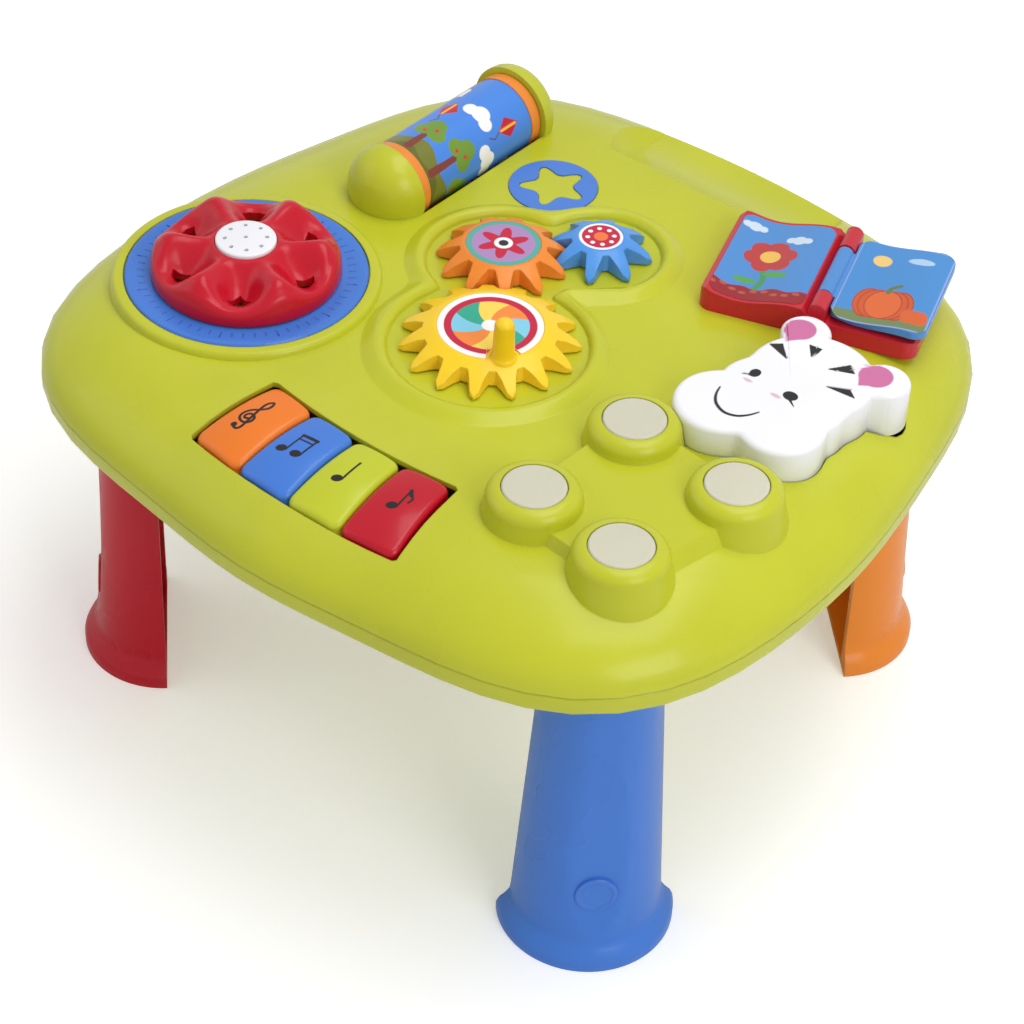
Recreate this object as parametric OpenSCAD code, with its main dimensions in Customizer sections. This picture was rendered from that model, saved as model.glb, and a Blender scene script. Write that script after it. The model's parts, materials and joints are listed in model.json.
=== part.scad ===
// Musical activity table for a small child: a moulded table top on four
// push-fit legs, with a steering wheel, three meshed gears, a rolling drum,
// a page to turn, piano keys, an animal button and four light-up buttons.
// Millimetres. Origin: centre of the plan outline, on the floor. +Z up.
// -Y is the side the child sits at (the keys), +X is the animal's side.

/* [Table top] */
// Mean radius of the plan outline, a soft square
plan_r = 230.2; // [226:0.2:234]
// How far the corners stand out from a round outline
corner_out = 13.5; // [12:0.5:15]
// Underside of the rim
rim_z = 196; // [192:1:200]
// Flat top surface
top_z = 240; // [239:1:241]
// How far in from the rim the top starts to fall away
edge_w = 62; // [58:1:66]
// Moulded wall
wall = 3; // [2.6:0.1:3.2]

/* [Legs] */
// Radius of the half-round leg just above its foot
leg_low_r = 39.2; // [38.5:0.1:40]
// Radius of the leg under the table
leg_high_r = 29.3; // [28.8:0.1:30]
// Radius of the foot
foot_r = 46.5; // [45.5:0.5:47.5]
// Wall of the leg
leg_wall = 5; // [4.8:0.1:5.4]

/* [Wheel] */
// Outer radius of the steering wheel
wheel_r = 50; // [49:0.5:51]
// Top of the white hub cap
hub_z = 266; // [264:1:268]

/* [Gears] */
// Teeth of the yellow gear
teeth_big = 15; // [15:1:15]
// Teeth of the orange gear
teeth_mid = 11; // [11:1:11]
// Teeth of the blue gear
teeth_small = 8; // [8:1:8]
// Distance between the yellow and the orange gear's centres
mesh_gap = 71.8; // [71.6:0.1:72.2]

/* [Drum] */
// Radius of the drum
drum_r = 22.5; // [22:0.5:23]
// Length of the drum
drum_len = 100; // [98:1:101]

/* [Buttons] */
// Top of the four lens buttons
lens_z = 256; // [254:1:258]
// Radius of a lens button
lens_r = 16; // [15.5:0.5:16.5]
// Travel of the keys
key_travel = 3; // [2:0.5:3]

/* [Hidden] */
$fn = 64;
e = 0.01;

// Places in plan
wheel_at = [-128, -75.5];
gear_big_at = [3.1, -32.9];
gear_dir_1 = 124.8;                 // from the yellow to the orange gear
gear_dir_2 = 49.2;                  // from the orange to the blue gear
module_pitch = mesh_gap / (teeth_big + teeth_mid);
gear_mid_at = gear_big_at + mesh_gap * [cos(gear_dir_1), sin(gear_dir_1)];
gear_small_at = gear_mid_at
    + module_pitch * (teeth_mid + teeth_small) * [cos(gear_dir_2), sin(gear_dir_2)];
drum_at = [-121.7, 81.2];
drum_z = top_z + 7;
star_at = [-62.3, 98.2];
book_at = [62, 64];
book_turn = 19.5;
lens_at = [[106, -45], [102, -117.5], [172.5, -50.5], [159, -122.5]];
key_at = [4, -161];
key_fan_r = 420;                    // the keys fan about a point this far behind them
key_fan = 4.28;                     // degrees from key to key

// Heights
seam_z = rim_z + 12;
floor_z = top_z + 0.2;              // floor of the gear recess
gear_z = top_z + 1;                 // underside of the gears
ring_z = top_z + 4;                 // top of the blue dial ring
slab_z = lens_z - 10;               // platform between the four domes

// ---- Plan outline and lofts ----
// The outline's radius is a mean plus eight waves, even about the Y axis
plan_waves = [plan_r, -3.2, -4.1, 6.2, -corner_out, -2, 0.6, -1, 2.1];
function rim_r(a) = plan_waves * [for (k = [0 : 8]) cos(k * a)];
half_depth = rim_r(0);
// One point of the plan outline, moved in by an inset
function rim_pt(t, inset) = (rim_r(t - 90) - inset) * [cos(t), sin(t)];
rim_steps = 72;
function rim_ring(inset, z) =
    [for (i = [0 : rim_steps - 1]) let (q = rim_pt(i * 360 / rim_steps, inset)) [q.x, q.y, z]];
// The rounded edge of the top: inset and height at an angle from 0 (seam) to 90 (flat)
edge_power = 1.8;
ceiling_w = edge_w - 2;             // the same inside, clear of the corners of the animal's pocket
function edge_inset(a, w) = w * (1 - pow(cos(a), 2 / edge_power));
function edge_height(a, h) = h * pow(sin(a), 2 / edge_power);

// A solid through rings that all have the same number of points, lowest first
module loft(rings) {
    n = len(rings[0]);
    m = len(rings);
    polyhedron(
        points = [for (r = rings) each r],
        faces = [
            [for (i = [0 : n - 1]) i],
            [for (i = [0 : n - 1]) m * n - 1 - i],
            for (k = [0 : m - 2], i = [0 : n - 1]) let (j = (i + 1) % n)
                [k * n + i, (k + 1) * n + j, k * n + j],
            for (k = [0 : m - 2], i = [0 : n - 1]) let (j = (i + 1) % n)
                [k * n + i, (k + 1) * n + i, (k + 1) * n + j]]);
}

// A closed ring of material through rings of points, with no caps
module ring_loft(rings) {
    n = len(rings[0]);
    m = len(rings);
    polyhedron(
        points = [for (r = rings) each r],
        faces = [for (k = [0 : m - 1], i = [0 : n - 1], h = [0, 1])
            let (j = (i + 1) % n, l = (k + 1) % m)
            h == 0 ? [k * n + i, l * n + j, k * n + j] : [k * n + i, l * n + i, l * n + j]]);
}
function round_rect(w, l, r) =
    [for (c = [[1, 1, 0], [-1, 1, 90], [-1, -1, 180], [1, -1, 270]], a = [0 : 30 : 90])
        [c.x * (w / 2 - r) + r * cos(c.z + a), c.y * (l / 2 - r) + r * sin(c.z + a)]];
// Distance from a point to the far side of a circle, along a direction
function ray_out(a, from, at, r) =
    let (d = at - from, b = d.x * cos(a) + d.y * sin(a), c = d * d - r * r, q = b * b - c)
    q < 0 ? 1 : max(b + sqrt(q), 1);
// A soft outline round several circles [x, y, radius], seen from one point
function lobed_r(a, from, lobes, grow, soft, k = 0) = k == len(lobes) ? 0
    : pow(ray_out(a, from, [lobes[k][0], lobes[k][1]], lobes[k][2] + grow), soft)
    + lobed_r(a, from, lobes, grow, soft, k + 1);
function lobed(from, lobes, grow, soft, steps) =
    [for (i = [0 : steps - 1]) let (a = i * 360 / steps,
        r = pow(lobed_r(a, from, lobes, grow, soft), 1 / soft)) from + r * [cos(a), sin(a)]];
function at_height(outline, z) = [for (q = outline) [q.x, q.y, z]];

// ---- Gears ----
// One gear: [teeth, tip radius, root radius]
gear_big = [teeth_big, 47.5, 34.8];
gear_mid = [teeth_mid, 36, 23.3];
gear_small = [teeth_small, 28.5, 15.7];
// Phase of a follower that meshes with a gear at phase a1 across direction dir
function mesh_phase(a1, n1, n2, dir) =
    let (f = (dir - a1) / (360 / n1)) dir + 180 - (0.5 - (f - floor(f))) * 360 / n2;
phase_big = 12;
phase_mid = mesh_phase(phase_big, teeth_big, teeth_mid, gear_dir_1);
phase_small = mesh_phase(phase_mid, teeth_mid, teeth_small, gear_dir_2);
tooth_pts = 8;
// 1 on a tooth, 0 in a gap, u runs from -0.5 to 0.5 across one tooth
function tooth_form(u) =
    let (t = (2 * abs(u) - 0.05) / 0.7) t < 0 ? 1 : t > 1 ? 0 : 0.5 + 0.5 * cos(180 * t);
function gear_outline(teeth, tip, root, phase) =
    [for (i = [0 : teeth * tooth_pts - 1])
        let (a = i * 360 / (teeth * tooth_pts) + phase, u = (i % tooth_pts) / tooth_pts,
             r = root + (tip - root) * tooth_form(u > 0.5 ? u - 1 : u)) r * [cos(a), sin(a)]];
gear_h = 11.5;
// The flare of the teeth: [share of the way from crown to tip, height]
flare = [[1, 0], [0.99, 1.4], [0.86, 3.6], [0.6, 6.8], [0.25, 9.8], [0.06, 11.2], [0, gear_h]];
label_t = 0.6;
post_r = 4;
post_fit = 0.08;
module gear(g, at, phase, label_r) {
    crown = label_r + 0.8;
    translate([at.x, at.y, gear_z]) difference() {
        intersection() {
            linear_extrude(gear_h) polygon(gear_outline(g[0], g[1], g[2], phase));
            rotate_extrude() polygon([[0, 0], each [for (f = flare)
                [crown + (g[1] + 0.2 - crown) * f[0], f[1]]], [0, gear_h]]);
        }
        translate([0, 0, -1]) cylinder(r = post_r + post_fit, h = gear_h + 2);
        translate([0, 0, gear_h - 3.4]) cylinder(r = 7.5, h = 4);
        translate([0, 0, gear_h - label_t]) cylinder(r = label_r, h = 2);
        // moulded hollow underneath
        translate([0, 0, -1]) difference() {
            cylinder(r = min(g[2] - 4, label_r - 1), h = 7);
            cylinder(r = 8, h = 8);
        }
    }
}
peg_r = 5.4;
peg_at = 26 * [cos(-35.5), sin(-35.5)];
module gear_yellow() color("gold") difference() {
    union() {
        gear(gear_big, gear_big_at, phase_big, 27.5);
        translate([gear_big_at.x + peg_at.x, gear_big_at.y + peg_at.y, gear_z + 8])
            rotate_extrude() polygon([[0, 0], [peg_r + 2, 0], [peg_r + 1.6, 3.4], [peg_r + 0.5, 5],
                each [for (a = [0 : 15 : 75])
                    [peg_r * 0.95 * cos(a), 22.7 + peg_r * 0.8 * sin(a)]], [0, 27]]);
    }
}
module gear_orange() color("darkorange") gear(gear_mid, gear_mid_at, phase_mid, 20);
module gear_blue() color("royalblue") gear(gear_small, gear_small_at, phase_small, 12);
module gear_label(at, r, notch) color("white")
    translate([at.x, at.y, gear_z + gear_h - label_t]) difference() {
        cylinder(r = r - 0.1, h = label_t);
        if (notch) translate([peg_at.x, peg_at.y, -1]) cylinder(r = peg_r + 3, h = 3);
    }
module gear_label_yellow() gear_label(gear_big_at, 27.5, true);
module gear_label_orange() gear_label(gear_mid_at, 20, false);
module gear_label_blue() gear_label(gear_small_at, 12, false);
// One flange-headed screw down each gear post, under the label
module gear_screws() color("silver")
    for (at = [gear_big_at, gear_mid_at, gear_small_at])
        translate([at.x, at.y, gear_z + gear_h - 3.1]) {
            cylinder(r = 6.5, h = 1.1);
            cylinder(r = 3, h = 2.1);
            translate([0, 0, -9]) cylinder(r = 1.35, h = 10);
        }

// ---- Lobed lip round the gears ----
lip_at = [-12, 14];
lip_lobes = [[gear_big_at.x, gear_big_at.y, gear_big[1]], [gear_mid_at.x, gear_mid_at.y, gear_mid[1]],
             [gear_small_at.x, gear_small_at.y, gear_small[1]]];
// [how far outside the gears' tips, height]
lip_rows = [[18.5, top_z - 1.6], [16, top_z + 0.5], [13.5, top_z + 2], [11, top_z + 3.7],
            [9, top_z + 4.3], [7, top_z + 3.8], [5, top_z + 1.9], [4, top_z - 1.6]];
// The lip spreads a little further on the side of the child
module gear_lip() ring_loft([for (row = lip_rows) let (spread = [[0, -0.25 * row[0], 0], [0, 0, 0], [0, 0, 0]])
    at_height(lobed(lip_at, lip_lobes + spread, row[0], 14, 72), row[1])]);

// ---- Domes and platform of the lens buttons ----
dome_r = 24;
module dome_outside(at) translate([at.x, at.y, 0]) rotate_extrude() polygon([
    [0, rim_z + 22], [dome_r + 4, rim_z + 22], [dome_r + 3.4, top_z - 8],
    [dome_r + 1.2, top_z + 2], [dome_r, lens_z - 8],
    each [for (a = [0 : 15 : 90]) [dome_r - 7 + 7 * cos(a), lens_z - 7.4 + 7 * sin(a)]],
    [0, lens_z - 0.4]]);
module dome_inside(at) translate([at.x, at.y, 0]) {
    translate([0, 0, rim_z + 18]) cylinder(r = dome_r - wall, h = lens_z - 4 - rim_z - 18);
    cylinder(r = lens_r + 0.4, h = lens_z + 2);
}
module platform()
    hull() for (at = lens_at) translate([at.x, at.y, top_z - 16]) {
        cylinder(r = 22, h = 1, $fn = 32);
        cylinder(r = 14, h = 14.5, $fn = 32);
        cylinder(r = 10.5, h = slab_z - top_z + 16, $fn = 32);
    }

// ---- Pedestal of the wheel ----
module pedestal() translate([wheel_at.x, wheel_at.y, 0]) rotate_extrude() polygon([
    [0, seam_z + 8], [71, seam_z + 8], [72.5, top_z - 8], [71.5, top_z - 2], [70.8, top_z + 2],
    [69.8, ring_z - 0.6], [68.6, ring_z], [0, ring_z]]);
wheel_post_r = 9;

// ---- Drum housing ----
module along_y(y) translate([drum_at.x, y, drum_z]) rotate([-90, 0, 0]) children();
nose_r = drum_r + 2.3;
pod_r = drum_r + 3.5;
nose_len = 22;
module drum_housing() {
    // nose in front of the drum
    along_y(drum_at.y - drum_len / 2 - nose_len - 0.6) rotate_extrude() polygon([
        each [for (a = [0 : 9 : 90]) [nose_r * sin(a), nose_len * (1 - cos(a))]],
        [nose_r, nose_len + 0.4], [0, nose_len + 0.4]]);
    // cap behind it
    along_y(drum_at.y + drum_len / 2 + 0.6) rotate_extrude() polygon([
        [0, 0], [pod_r, 0], each [for (a = [0 : 15 : 90]) [pod_r - 10 + 10 * cos(a), 3.4 + 10 * sin(a)]],
        [0, 13.4]]);
    // cowl along the far side, falling to the rim at the front
    cowl_y = drum_at.y - drum_len / 2 - 4;
    difference() {
        translate([drum_at.x, cowl_y + drum_len + 10, top_z]) rotate([90, 0, 0])
            linear_extrude(drum_len + 10) polygon([[0, -10], [0, 10], [-27.5, 10], [-30, 8.6],
                [-31.2, 6], [-32, 0], [-33, -10]]);
        translate([drum_at.x - 50, cowl_y - 2, top_z - 4]) rotate([20, 0, 0]) cube([100, 80, 40]);
    }
}
module drum_slot() {
    along_y(drum_at.y - drum_len / 2 - 0.6) cylinder(r = drum_r + 1.2, h = drum_len + 1.2);
    translate([drum_at.x - drum_r - 1.2, drum_at.y - drum_len / 2 - 0.6, seam_z])
        cube([2 * drum_r + 2.4, drum_len + 1.2, drum_z - seam_z]);
}
axle_r = 3;
cap_w = 7;
module drum_barrel() color("cornflowerblue")
    along_y(drum_at.y - drum_len / 2 + cap_w) difference() {
        cylinder(r = drum_r - 0.4, h = drum_len - 2 * cap_w);
        translate([0, 0, -1]) cylinder(r = drum_r - 2.6, h = drum_len - 8);
    }
module drum_cap() {
    difference() {
        union() {
            cylinder(r = drum_r, h = cap_w);
            cylinder(r = drum_r - 2.7, h = cap_w + 3);
        }
        translate([0, 0, 2.4]) difference() {
            cylinder(r = drum_r - 5, h = 10);
            cylinder(r = 7, h = 11);
        }
        translate([0, 0, -1]) cylinder(r = axle_r + 0.07, h = 12);
    }
}
module drum_cap_front() color("orange") along_y(drum_at.y - drum_len / 2) drum_cap();
module drum_cap_rear() color("orange") along_y(drum_at.y + drum_len / 2) mirror([0, 0, 1]) drum_cap();
module drum_axle() color("silver") along_y(drum_at.y - drum_len / 2 - 12)
    cylinder(r = axle_r, h = drum_len + 20);

// ---- Keys ----
key_l = 52;
key_gap = 0.8;
// Width of a key's share of the fan at a distance from the fan's centre
function key_width(r) = 2 * r * tan(key_fan / 2) - key_gap;
module key_place(i) translate([key_at.x, key_at.y + key_fan_r, 0])
    rotate([0, 0, (i - 1.5) * key_fan]) translate([0, -key_fan_r, 0]) children();
// A key seen from above: it widens towards the child
function key_outline(grow, r) = let (l = key_l / 2 + grow)
    [for (c = [[1, 1, 0], [-1, 1, 90], [-1, -1, 180], [1, -1, 270]], a = [0 : 30 : 90])
        [c.x * (key_width(key_fan_r - c.y * l) / 2 - r) + r * cos(c.z + a),
         c.y * (l - r) + r * sin(c.z + a)]];
key_top = top_z + 2.2;
key_low = top_z - 16.2;
foot_h = 2.4;
module key(i) key_place(i) {
    intersection() {
        translate([0, 0, key_low + 1]) linear_extrude(key_top - key_low) polygon(key_outline(0, 5));
        // crowned across, and along with a fall towards the child
        translate([0, 0, key_top - 70]) rotate([90, 0, 0])
            cylinder(r = 70, h = key_l + 4, center = true, $fn = 128);
        translate([0, 12, key_top - 100]) rotate([0, 90, 0])
            cylinder(r = 100, h = 40, center = true, $fn = 128);
    }
    // flange that keeps the key in its well, and the foot that presses the pad
    translate([0, 0, key_low]) linear_extrude(2) polygon(key_outline(2.4, 3));
    translate([0, 0, key_low - foot_h]) cylinder(r = 4, h = foot_h + 1, $fn = 32);
}
module key_orange() color("orange") key(0);
module key_blue() color("cornflowerblue") key(1);
module key_lime() color("yellowgreen") key(2);
module key_red() color("crimson") key(3);
// The opening for the keys is a sector about the fan's centre
function fan_pt(r, a) = [key_at.x + r * sin(a), key_at.y + key_fan_r - r * cos(a)];
module key_well() translate([0, 0, seam_z + 2]) linear_extrude(top_z - seam_z + 8) polygon([
    each [for (a = [-8.5 : 1.7 : 8.5]) fan_pt(key_fan_r + 27.2, a)],
    fan_pt(key_fan_r + 26, 8.75), fan_pt(key_fan_r - 26, 8.95),
    each [for (a = [8.6 : -1.72 : -8.6]) fan_pt(key_fan_r - 27.6, a)],
    fan_pt(key_fan_r - 26, -8.95), fan_pt(key_fan_r + 26, -8.75)]);
// Rubber domes under the keys
pad_z = key_low - foot_h;
module key_pads() color("dimgray") for (i = [0 : 3]) key_place(i) {
    translate([0, 0, pad_z - 6]) cylinder(r1 = 8, r2 = 5, h = 6);
    translate([-14, -12, pad_z - 8]) cube([28, 24, 2.5]);
}

// ---- Animal button ----
// Nose, cheek, forehead, two fillers and two ears: [x, y, radius]
head_lobes = [[129, -4.5, 24.5], [162.5, -0.5, 22], [150, 42, 33], [134, 20, 20], [160, 20, 22],
              [127, 70, 13], [180, 63.5, 13.5]];
head_at = [146, 30];
head_top = lens_z + 0.5;
head_low = top_z - 10;
function head_outline(grow) = lobed(head_at, head_lobes, grow, 16, 90);
module animal_head() color("white") {
    difference() {
        loft([at_height(head_outline(0), head_low), at_height(head_outline(0), head_top - 3),
              at_height(head_outline(-0.9), head_top - 0.9), at_height(head_outline(-2.6), head_top)]);
        translate([0, 0, head_low - 1]) linear_extrude(head_top - head_low - 3)
            polygon(head_outline(-3.2));
    }
    translate([head_at.x, head_at.y, head_low - 1]) cylinder(r = 7, h = head_top - head_low - 2);
}
module animal_pad() color("dimgray") translate([head_at.x, head_at.y, rim_z + 22])
    cylinder(r1 = 11, r2 = 7.5, h = head_low - 1 - rim_z - 22);

// ---- Star plate ----
star_plate_r = 24.6;
function star_r(a) = 14.2 + 3.9 * cos(5 * a) + 0.7 * cos(10 * a);
module star_shape(grow) polygon([for (i = [0 : 59]) let (a = i * 6)
    (star_r(a) + grow) * [cos(a + 3), sin(a + 3)]]);
module star_plate() color("cornflowerblue") translate([star_at.x, star_at.y, top_z - 1])
    difference() {
        cylinder(r = star_plate_r, h = 1.6);
        translate([0, 0, -1]) linear_extrude(4) star_shape(0.25);
    }

// ---- Book ----
book_w = 118;
book_d = 77;
spine_u = 64;
hinge_z = top_z + 15.2;
knuckle_r = 4.8;
pin_r = 1.8;
module in_book() translate([book_at.x, book_at.y, 0]) rotate([0, 0, book_turn]) children();
// Profile across the book: the fixed left page is a wave, the right side a low tray
function left_wave(u) = top_z + 13.2 + 2.6 * sin(u * 360 / 62 + 150);
book_profile = [[0, top_z], [book_w, top_z], [book_w, top_z + 8],
    [book_w - 2, top_z + 10], [spine_u + 4.9, top_z + 10], [spine_u + 4.4, top_z + 11.4],
    [spine_u - 5, top_z + 12.5],
    each [for (u = [spine_u - 8 : -4 : 4]) [u, left_wave(u)]], [1, left_wave(4) - 2]];
module book_extrude(v0, v1, profile)
    translate([0, v1, 0]) rotate([90, 0, 0]) linear_extrude(v1 - v0) polygon(profile);
module book_base() color("crimson") in_book() difference() {
    union() {
        intersection() {
            book_extrude(0, book_d, book_profile);
            translate([0, 0, top_z - 2]) linear_extrude(40) hull()
                for (x = [8, book_w - 8], y = [8, book_d - 8])
                    translate([x, y]) circle(r = 8, $fn = 32);
        }
        // knuckles that hold the pin
        for (v = [[1, 15], [58, 76]])
            translate([spine_u, v[1], hinge_z]) rotate([90, 0, 0]) {
                cylinder(r = knuckle_r, h = v[1] - v[0]);
                translate([-knuckle_r, -8, 0]) cube([2 * knuckle_r, 8, v[1] - v[0]]);
            }
    }
    translate([spine_u, book_d + 1, hinge_z]) rotate([90, 0, 0])
        cylinder(r = pin_r + 0.02, h = book_d - 1);
    // room for the leaf's barrel
    translate([spine_u, 57.4, hinge_z]) rotate([90, 0, 0]) cylinder(r = 5.4, h = 41.8);
}
module book_pin() color("silver") in_book()
    translate([spine_u, 75, hinge_z]) rotate([90, 0, 0]) cylinder(r = pin_r, h = 73);
// The leaf is a thick page with an S across it
leaf_t = 4.2;
leaf_u0 = spine_u + knuckle_r + 0.6;
leaf_u1 = 121;
function leaf_mid(u) =
    let (s = (u - spine_u) / (leaf_u1 - spine_u)) hinge_z - 2.2 * sin(s * 300) - 2.2 * s * s;
module leaf_band(v0, v1, u0, u1, steps) {
    us = [for (k = [0 : steps]) u0 + (u1 - u0) * k / steps];
    book_extrude(v0, v1, [each [for (u = us) [u, leaf_mid(u) - leaf_t / 2]],
        each [for (k = [steps : -1 : 0]) [us[k], leaf_mid(us[k]) + leaf_t / 2]]]);
}
module book_leaf() color("steelblue") in_book() difference() {
    union() {
        intersection() {
            leaf_band(0.4, 74, leaf_u0, leaf_u1, 16);
            translate([0, 0, top_z]) linear_extrude(60) hull()
                for (x = [leaf_u0 + 3, leaf_u1 - 8], y = [8.4, 66])
                    translate([x, y]) circle(r = x > 100 ? 8 : 3, $fn = 32);
        }
        leaf_band(16.2, 56.8, spine_u, leaf_u0 + 1, 4);
        translate([spine_u, 56.8, hinge_z]) rotate([90, 0, 0]) cylinder(r = 4.4, h = 40.6);
    }
    translate([spine_u, 58, hinge_z]) rotate([90, 0, 0]) cylinder(r = pin_r + 0.08, h = 44);
}

// ---- Trough along the back edge ----
// Half of a wide groove with a sloping wall at each end, thicker by the wall for its inside
trough_r = 74;
trough_x = [-80, 78];
trough_deep = 17;
module back_trough(grow) translate([0, half_depth - 19, top_z - trough_deep + trough_r]) rotate([0, 90, 0]) {
    wide = trough_r + grow;
    slope = trough_deep + 6;            // the end walls run on past the flat top
    translate([0, 0, trough_x[0] - 6]) cylinder(r1 = wide - slope, r2 = wide, h = slope);
    translate([0, 0, trough_x[0] + trough_deep])
        cylinder(r = wide, h = trough_x[1] - trough_x[0] - 2 * trough_deep);
    translate([0, 0, trough_x[1] - trough_deep]) cylinder(r1 = wide, r2 = wide - slope, h = slope);
}

// ---- Shells ----
board_z = lens_z - 27;
board_posts = [[104, -81], [166, -86], [135, -84]];
boss_at = [[-84, -158], [96, -160], [-180, 20], [198, -85], [-60, 176], [60, 150],
           [-30, -118], [60, 20]];
boss_top = [237, 236, 235, 230, 224, 237, 238, 238];
module top_shell() color("yellowgreen") difference() {
    union() {
        difference() {
            union() {
                loft([for (k = [0 : 8]) let (a = k * 90 / 8)
                    rim_ring(edge_inset(a, edge_w), seam_z + edge_height(a, top_z - seam_z))]);
                platform();
                for (at = lens_at) dome_outside(at);
                pedestal();
                drum_housing();
            }
            back_trough(0);
            // inside of the shell
            difference() {
                loft([for (k = [0 : 4]) let (a = k * 90 / 4)
                    rim_ring(wall + edge_inset(a, ceiling_w),
                             seam_z - e + edge_height(a, top_z - seam_z - wall))]);
                back_trough(wall);
            }
        }
        gear_lip();
        // posts for the gears
        for (at = [gear_big_at, gear_mid_at, gear_small_at]) translate([at.x, at.y, top_z - wall + 1]) {
            cylinder(r = 7, h = wall - 0.3);
            cylinder(r = post_r, h = wall + gear_h - 3.1);
        }
        // post for the wheel
        translate([wheel_at.x, wheel_at.y, top_z - wall + 1]) cylinder(r = wheel_post_r, h = wall + 15);
        // bosses for the case screws
        for (k = [0 : len(boss_at) - 1]) translate([boss_at[k].x, boss_at[k].y, seam_z - 3])
            cylinder(r = 4, h = boss_top[k] - seam_z + 3);
        // posts that carry the button board
        for (at = board_posts) translate([at.x, at.y, board_z + 1.6]) cylinder(r = 3.5, h = top_z - board_z - 3);
    }
    for (at = lens_at) dome_inside(at);
    translate([0, 0, seam_z + 2]) linear_extrude(head_top - seam_z) polygon(head_outline(0.5));
    key_well();
    drum_slot();
    along_y(drum_at.y - drum_len / 2 - 12.2) cylinder(r = axle_r + 0.05, h = drum_len + 20.4);
    // seat of the dial ring
    translate([wheel_at.x, wheel_at.y, ring_z - 2]) difference() {
        cylinder(r = 64.6, h = 4);
        cylinder(r = wheel_post_r, h = 4);
    }
    translate([wheel_at.x, wheel_at.y, top_z - 4]) cylinder(r = 1.4, h = 24, $fn = 24);
    for (at = [gear_big_at, gear_mid_at, gear_small_at])
        translate([at.x, at.y, top_z - 4]) cylinder(r = 1.4, h = 20, $fn = 24);
    for (b = boss_at) translate([b.x, b.y, seam_z - 4]) cylinder(r = 1.4, h = 20, $fn = 24);
    // seat of the star plate
    translate([star_at.x, star_at.y, top_z - 1]) difference() {
        cylinder(r = star_plate_r + 0.2, h = 3);
        linear_extrude(1.6) star_shape(0);
    }
}

// Legs: [chord centre, direction of the round side]
leg_spots = [[[-153.8, -122.7], 225], [[153.8, -122.7], -45], [[125.3, 141.5], 45],
             [[-125.3, 141.5], 135]];
module leg_place(i) translate([leg_spots[i][0].x, leg_spots[i][0].y, 0])
    rotate([0, 0, leg_spots[i][1]]) children();
module half_turn(profile) rotate([0, 0, -90]) rotate_extrude(angle = 180) polygon(profile);
tenon_top = rim_z + 22;
function leg_r(z) = leg_low_r + (leg_high_r - leg_low_r) * (z - 20) / (rim_z - 20);
// Shallow panel up the outside, narrow under the table: [height, half of its width]
panel = [[20, 0], [22, 5.5], [26, 9.5], [32, 12], [47, 14], [81, 14.8], [110, 13], [140, 9.2],
         [171, 5.4], [196, 3]];
panel_bend = 160;
medal_z = 47;
module leg(i) leg_place(i) {
    difference() {
        half_turn([[0, 0], [foot_r, 0], [foot_r, 5], [foot_r - 1.6, 8.5], [foot_r - 4.4, 11.5],
            [leg_low_r + 0.6, 15], [leg_low_r, 20], [leg_high_r, rim_z - 0.2],
            [leg_high_r - 2.6, rim_z - 0.2], [leg_high_r - 2.6, tenon_top],
            [leg_high_r - 5.4, tenon_top], [leg_high_r - 5.4, rim_z - 8],
            [leg_low_r - leg_wall, 20], [leg_low_r - leg_wall, 3], [0, 3]]);
        translate([leg_low_r + panel_bend, 0, 0]) rotate_extrude($fn = 96) polygon([[0, 20],
            each [for (q = panel) [leg_low_r + panel_bend - leg_r(q[0]) + q[1] * q[1] * 0.0161, q[0]]],
            [0, 196]]);
    }
    // plain round medallion low in the panel
    translate([leg_r(medal_z) - 4, 0, medal_z]) rotate([0, 90 - 3.2, 0]) rotate_extrude()
        polygon([[0, 0], [11, 0], [11, 2.2], [10.4, 2.8], [8.6, 2.8], [8.2, 2.4], [0, 2.4]]);
}
module leg_red() color("crimson") leg(0);
module leg_blue() color("royalblue") leg(1);
module leg_orange() color("darkorange") leg(2);
module leg_yellow() color("gold") leg(3);

// Battery bay, speaker and switch under the table
bay = [-30, -2, 104, 62];           // centre x, centre y, width, depth
contact_x = 26.4;                   // from the bay's centre to the ends of the cells' room
key_board_posts = [[-52, -172], [64, -172], [6, -140]];

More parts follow.
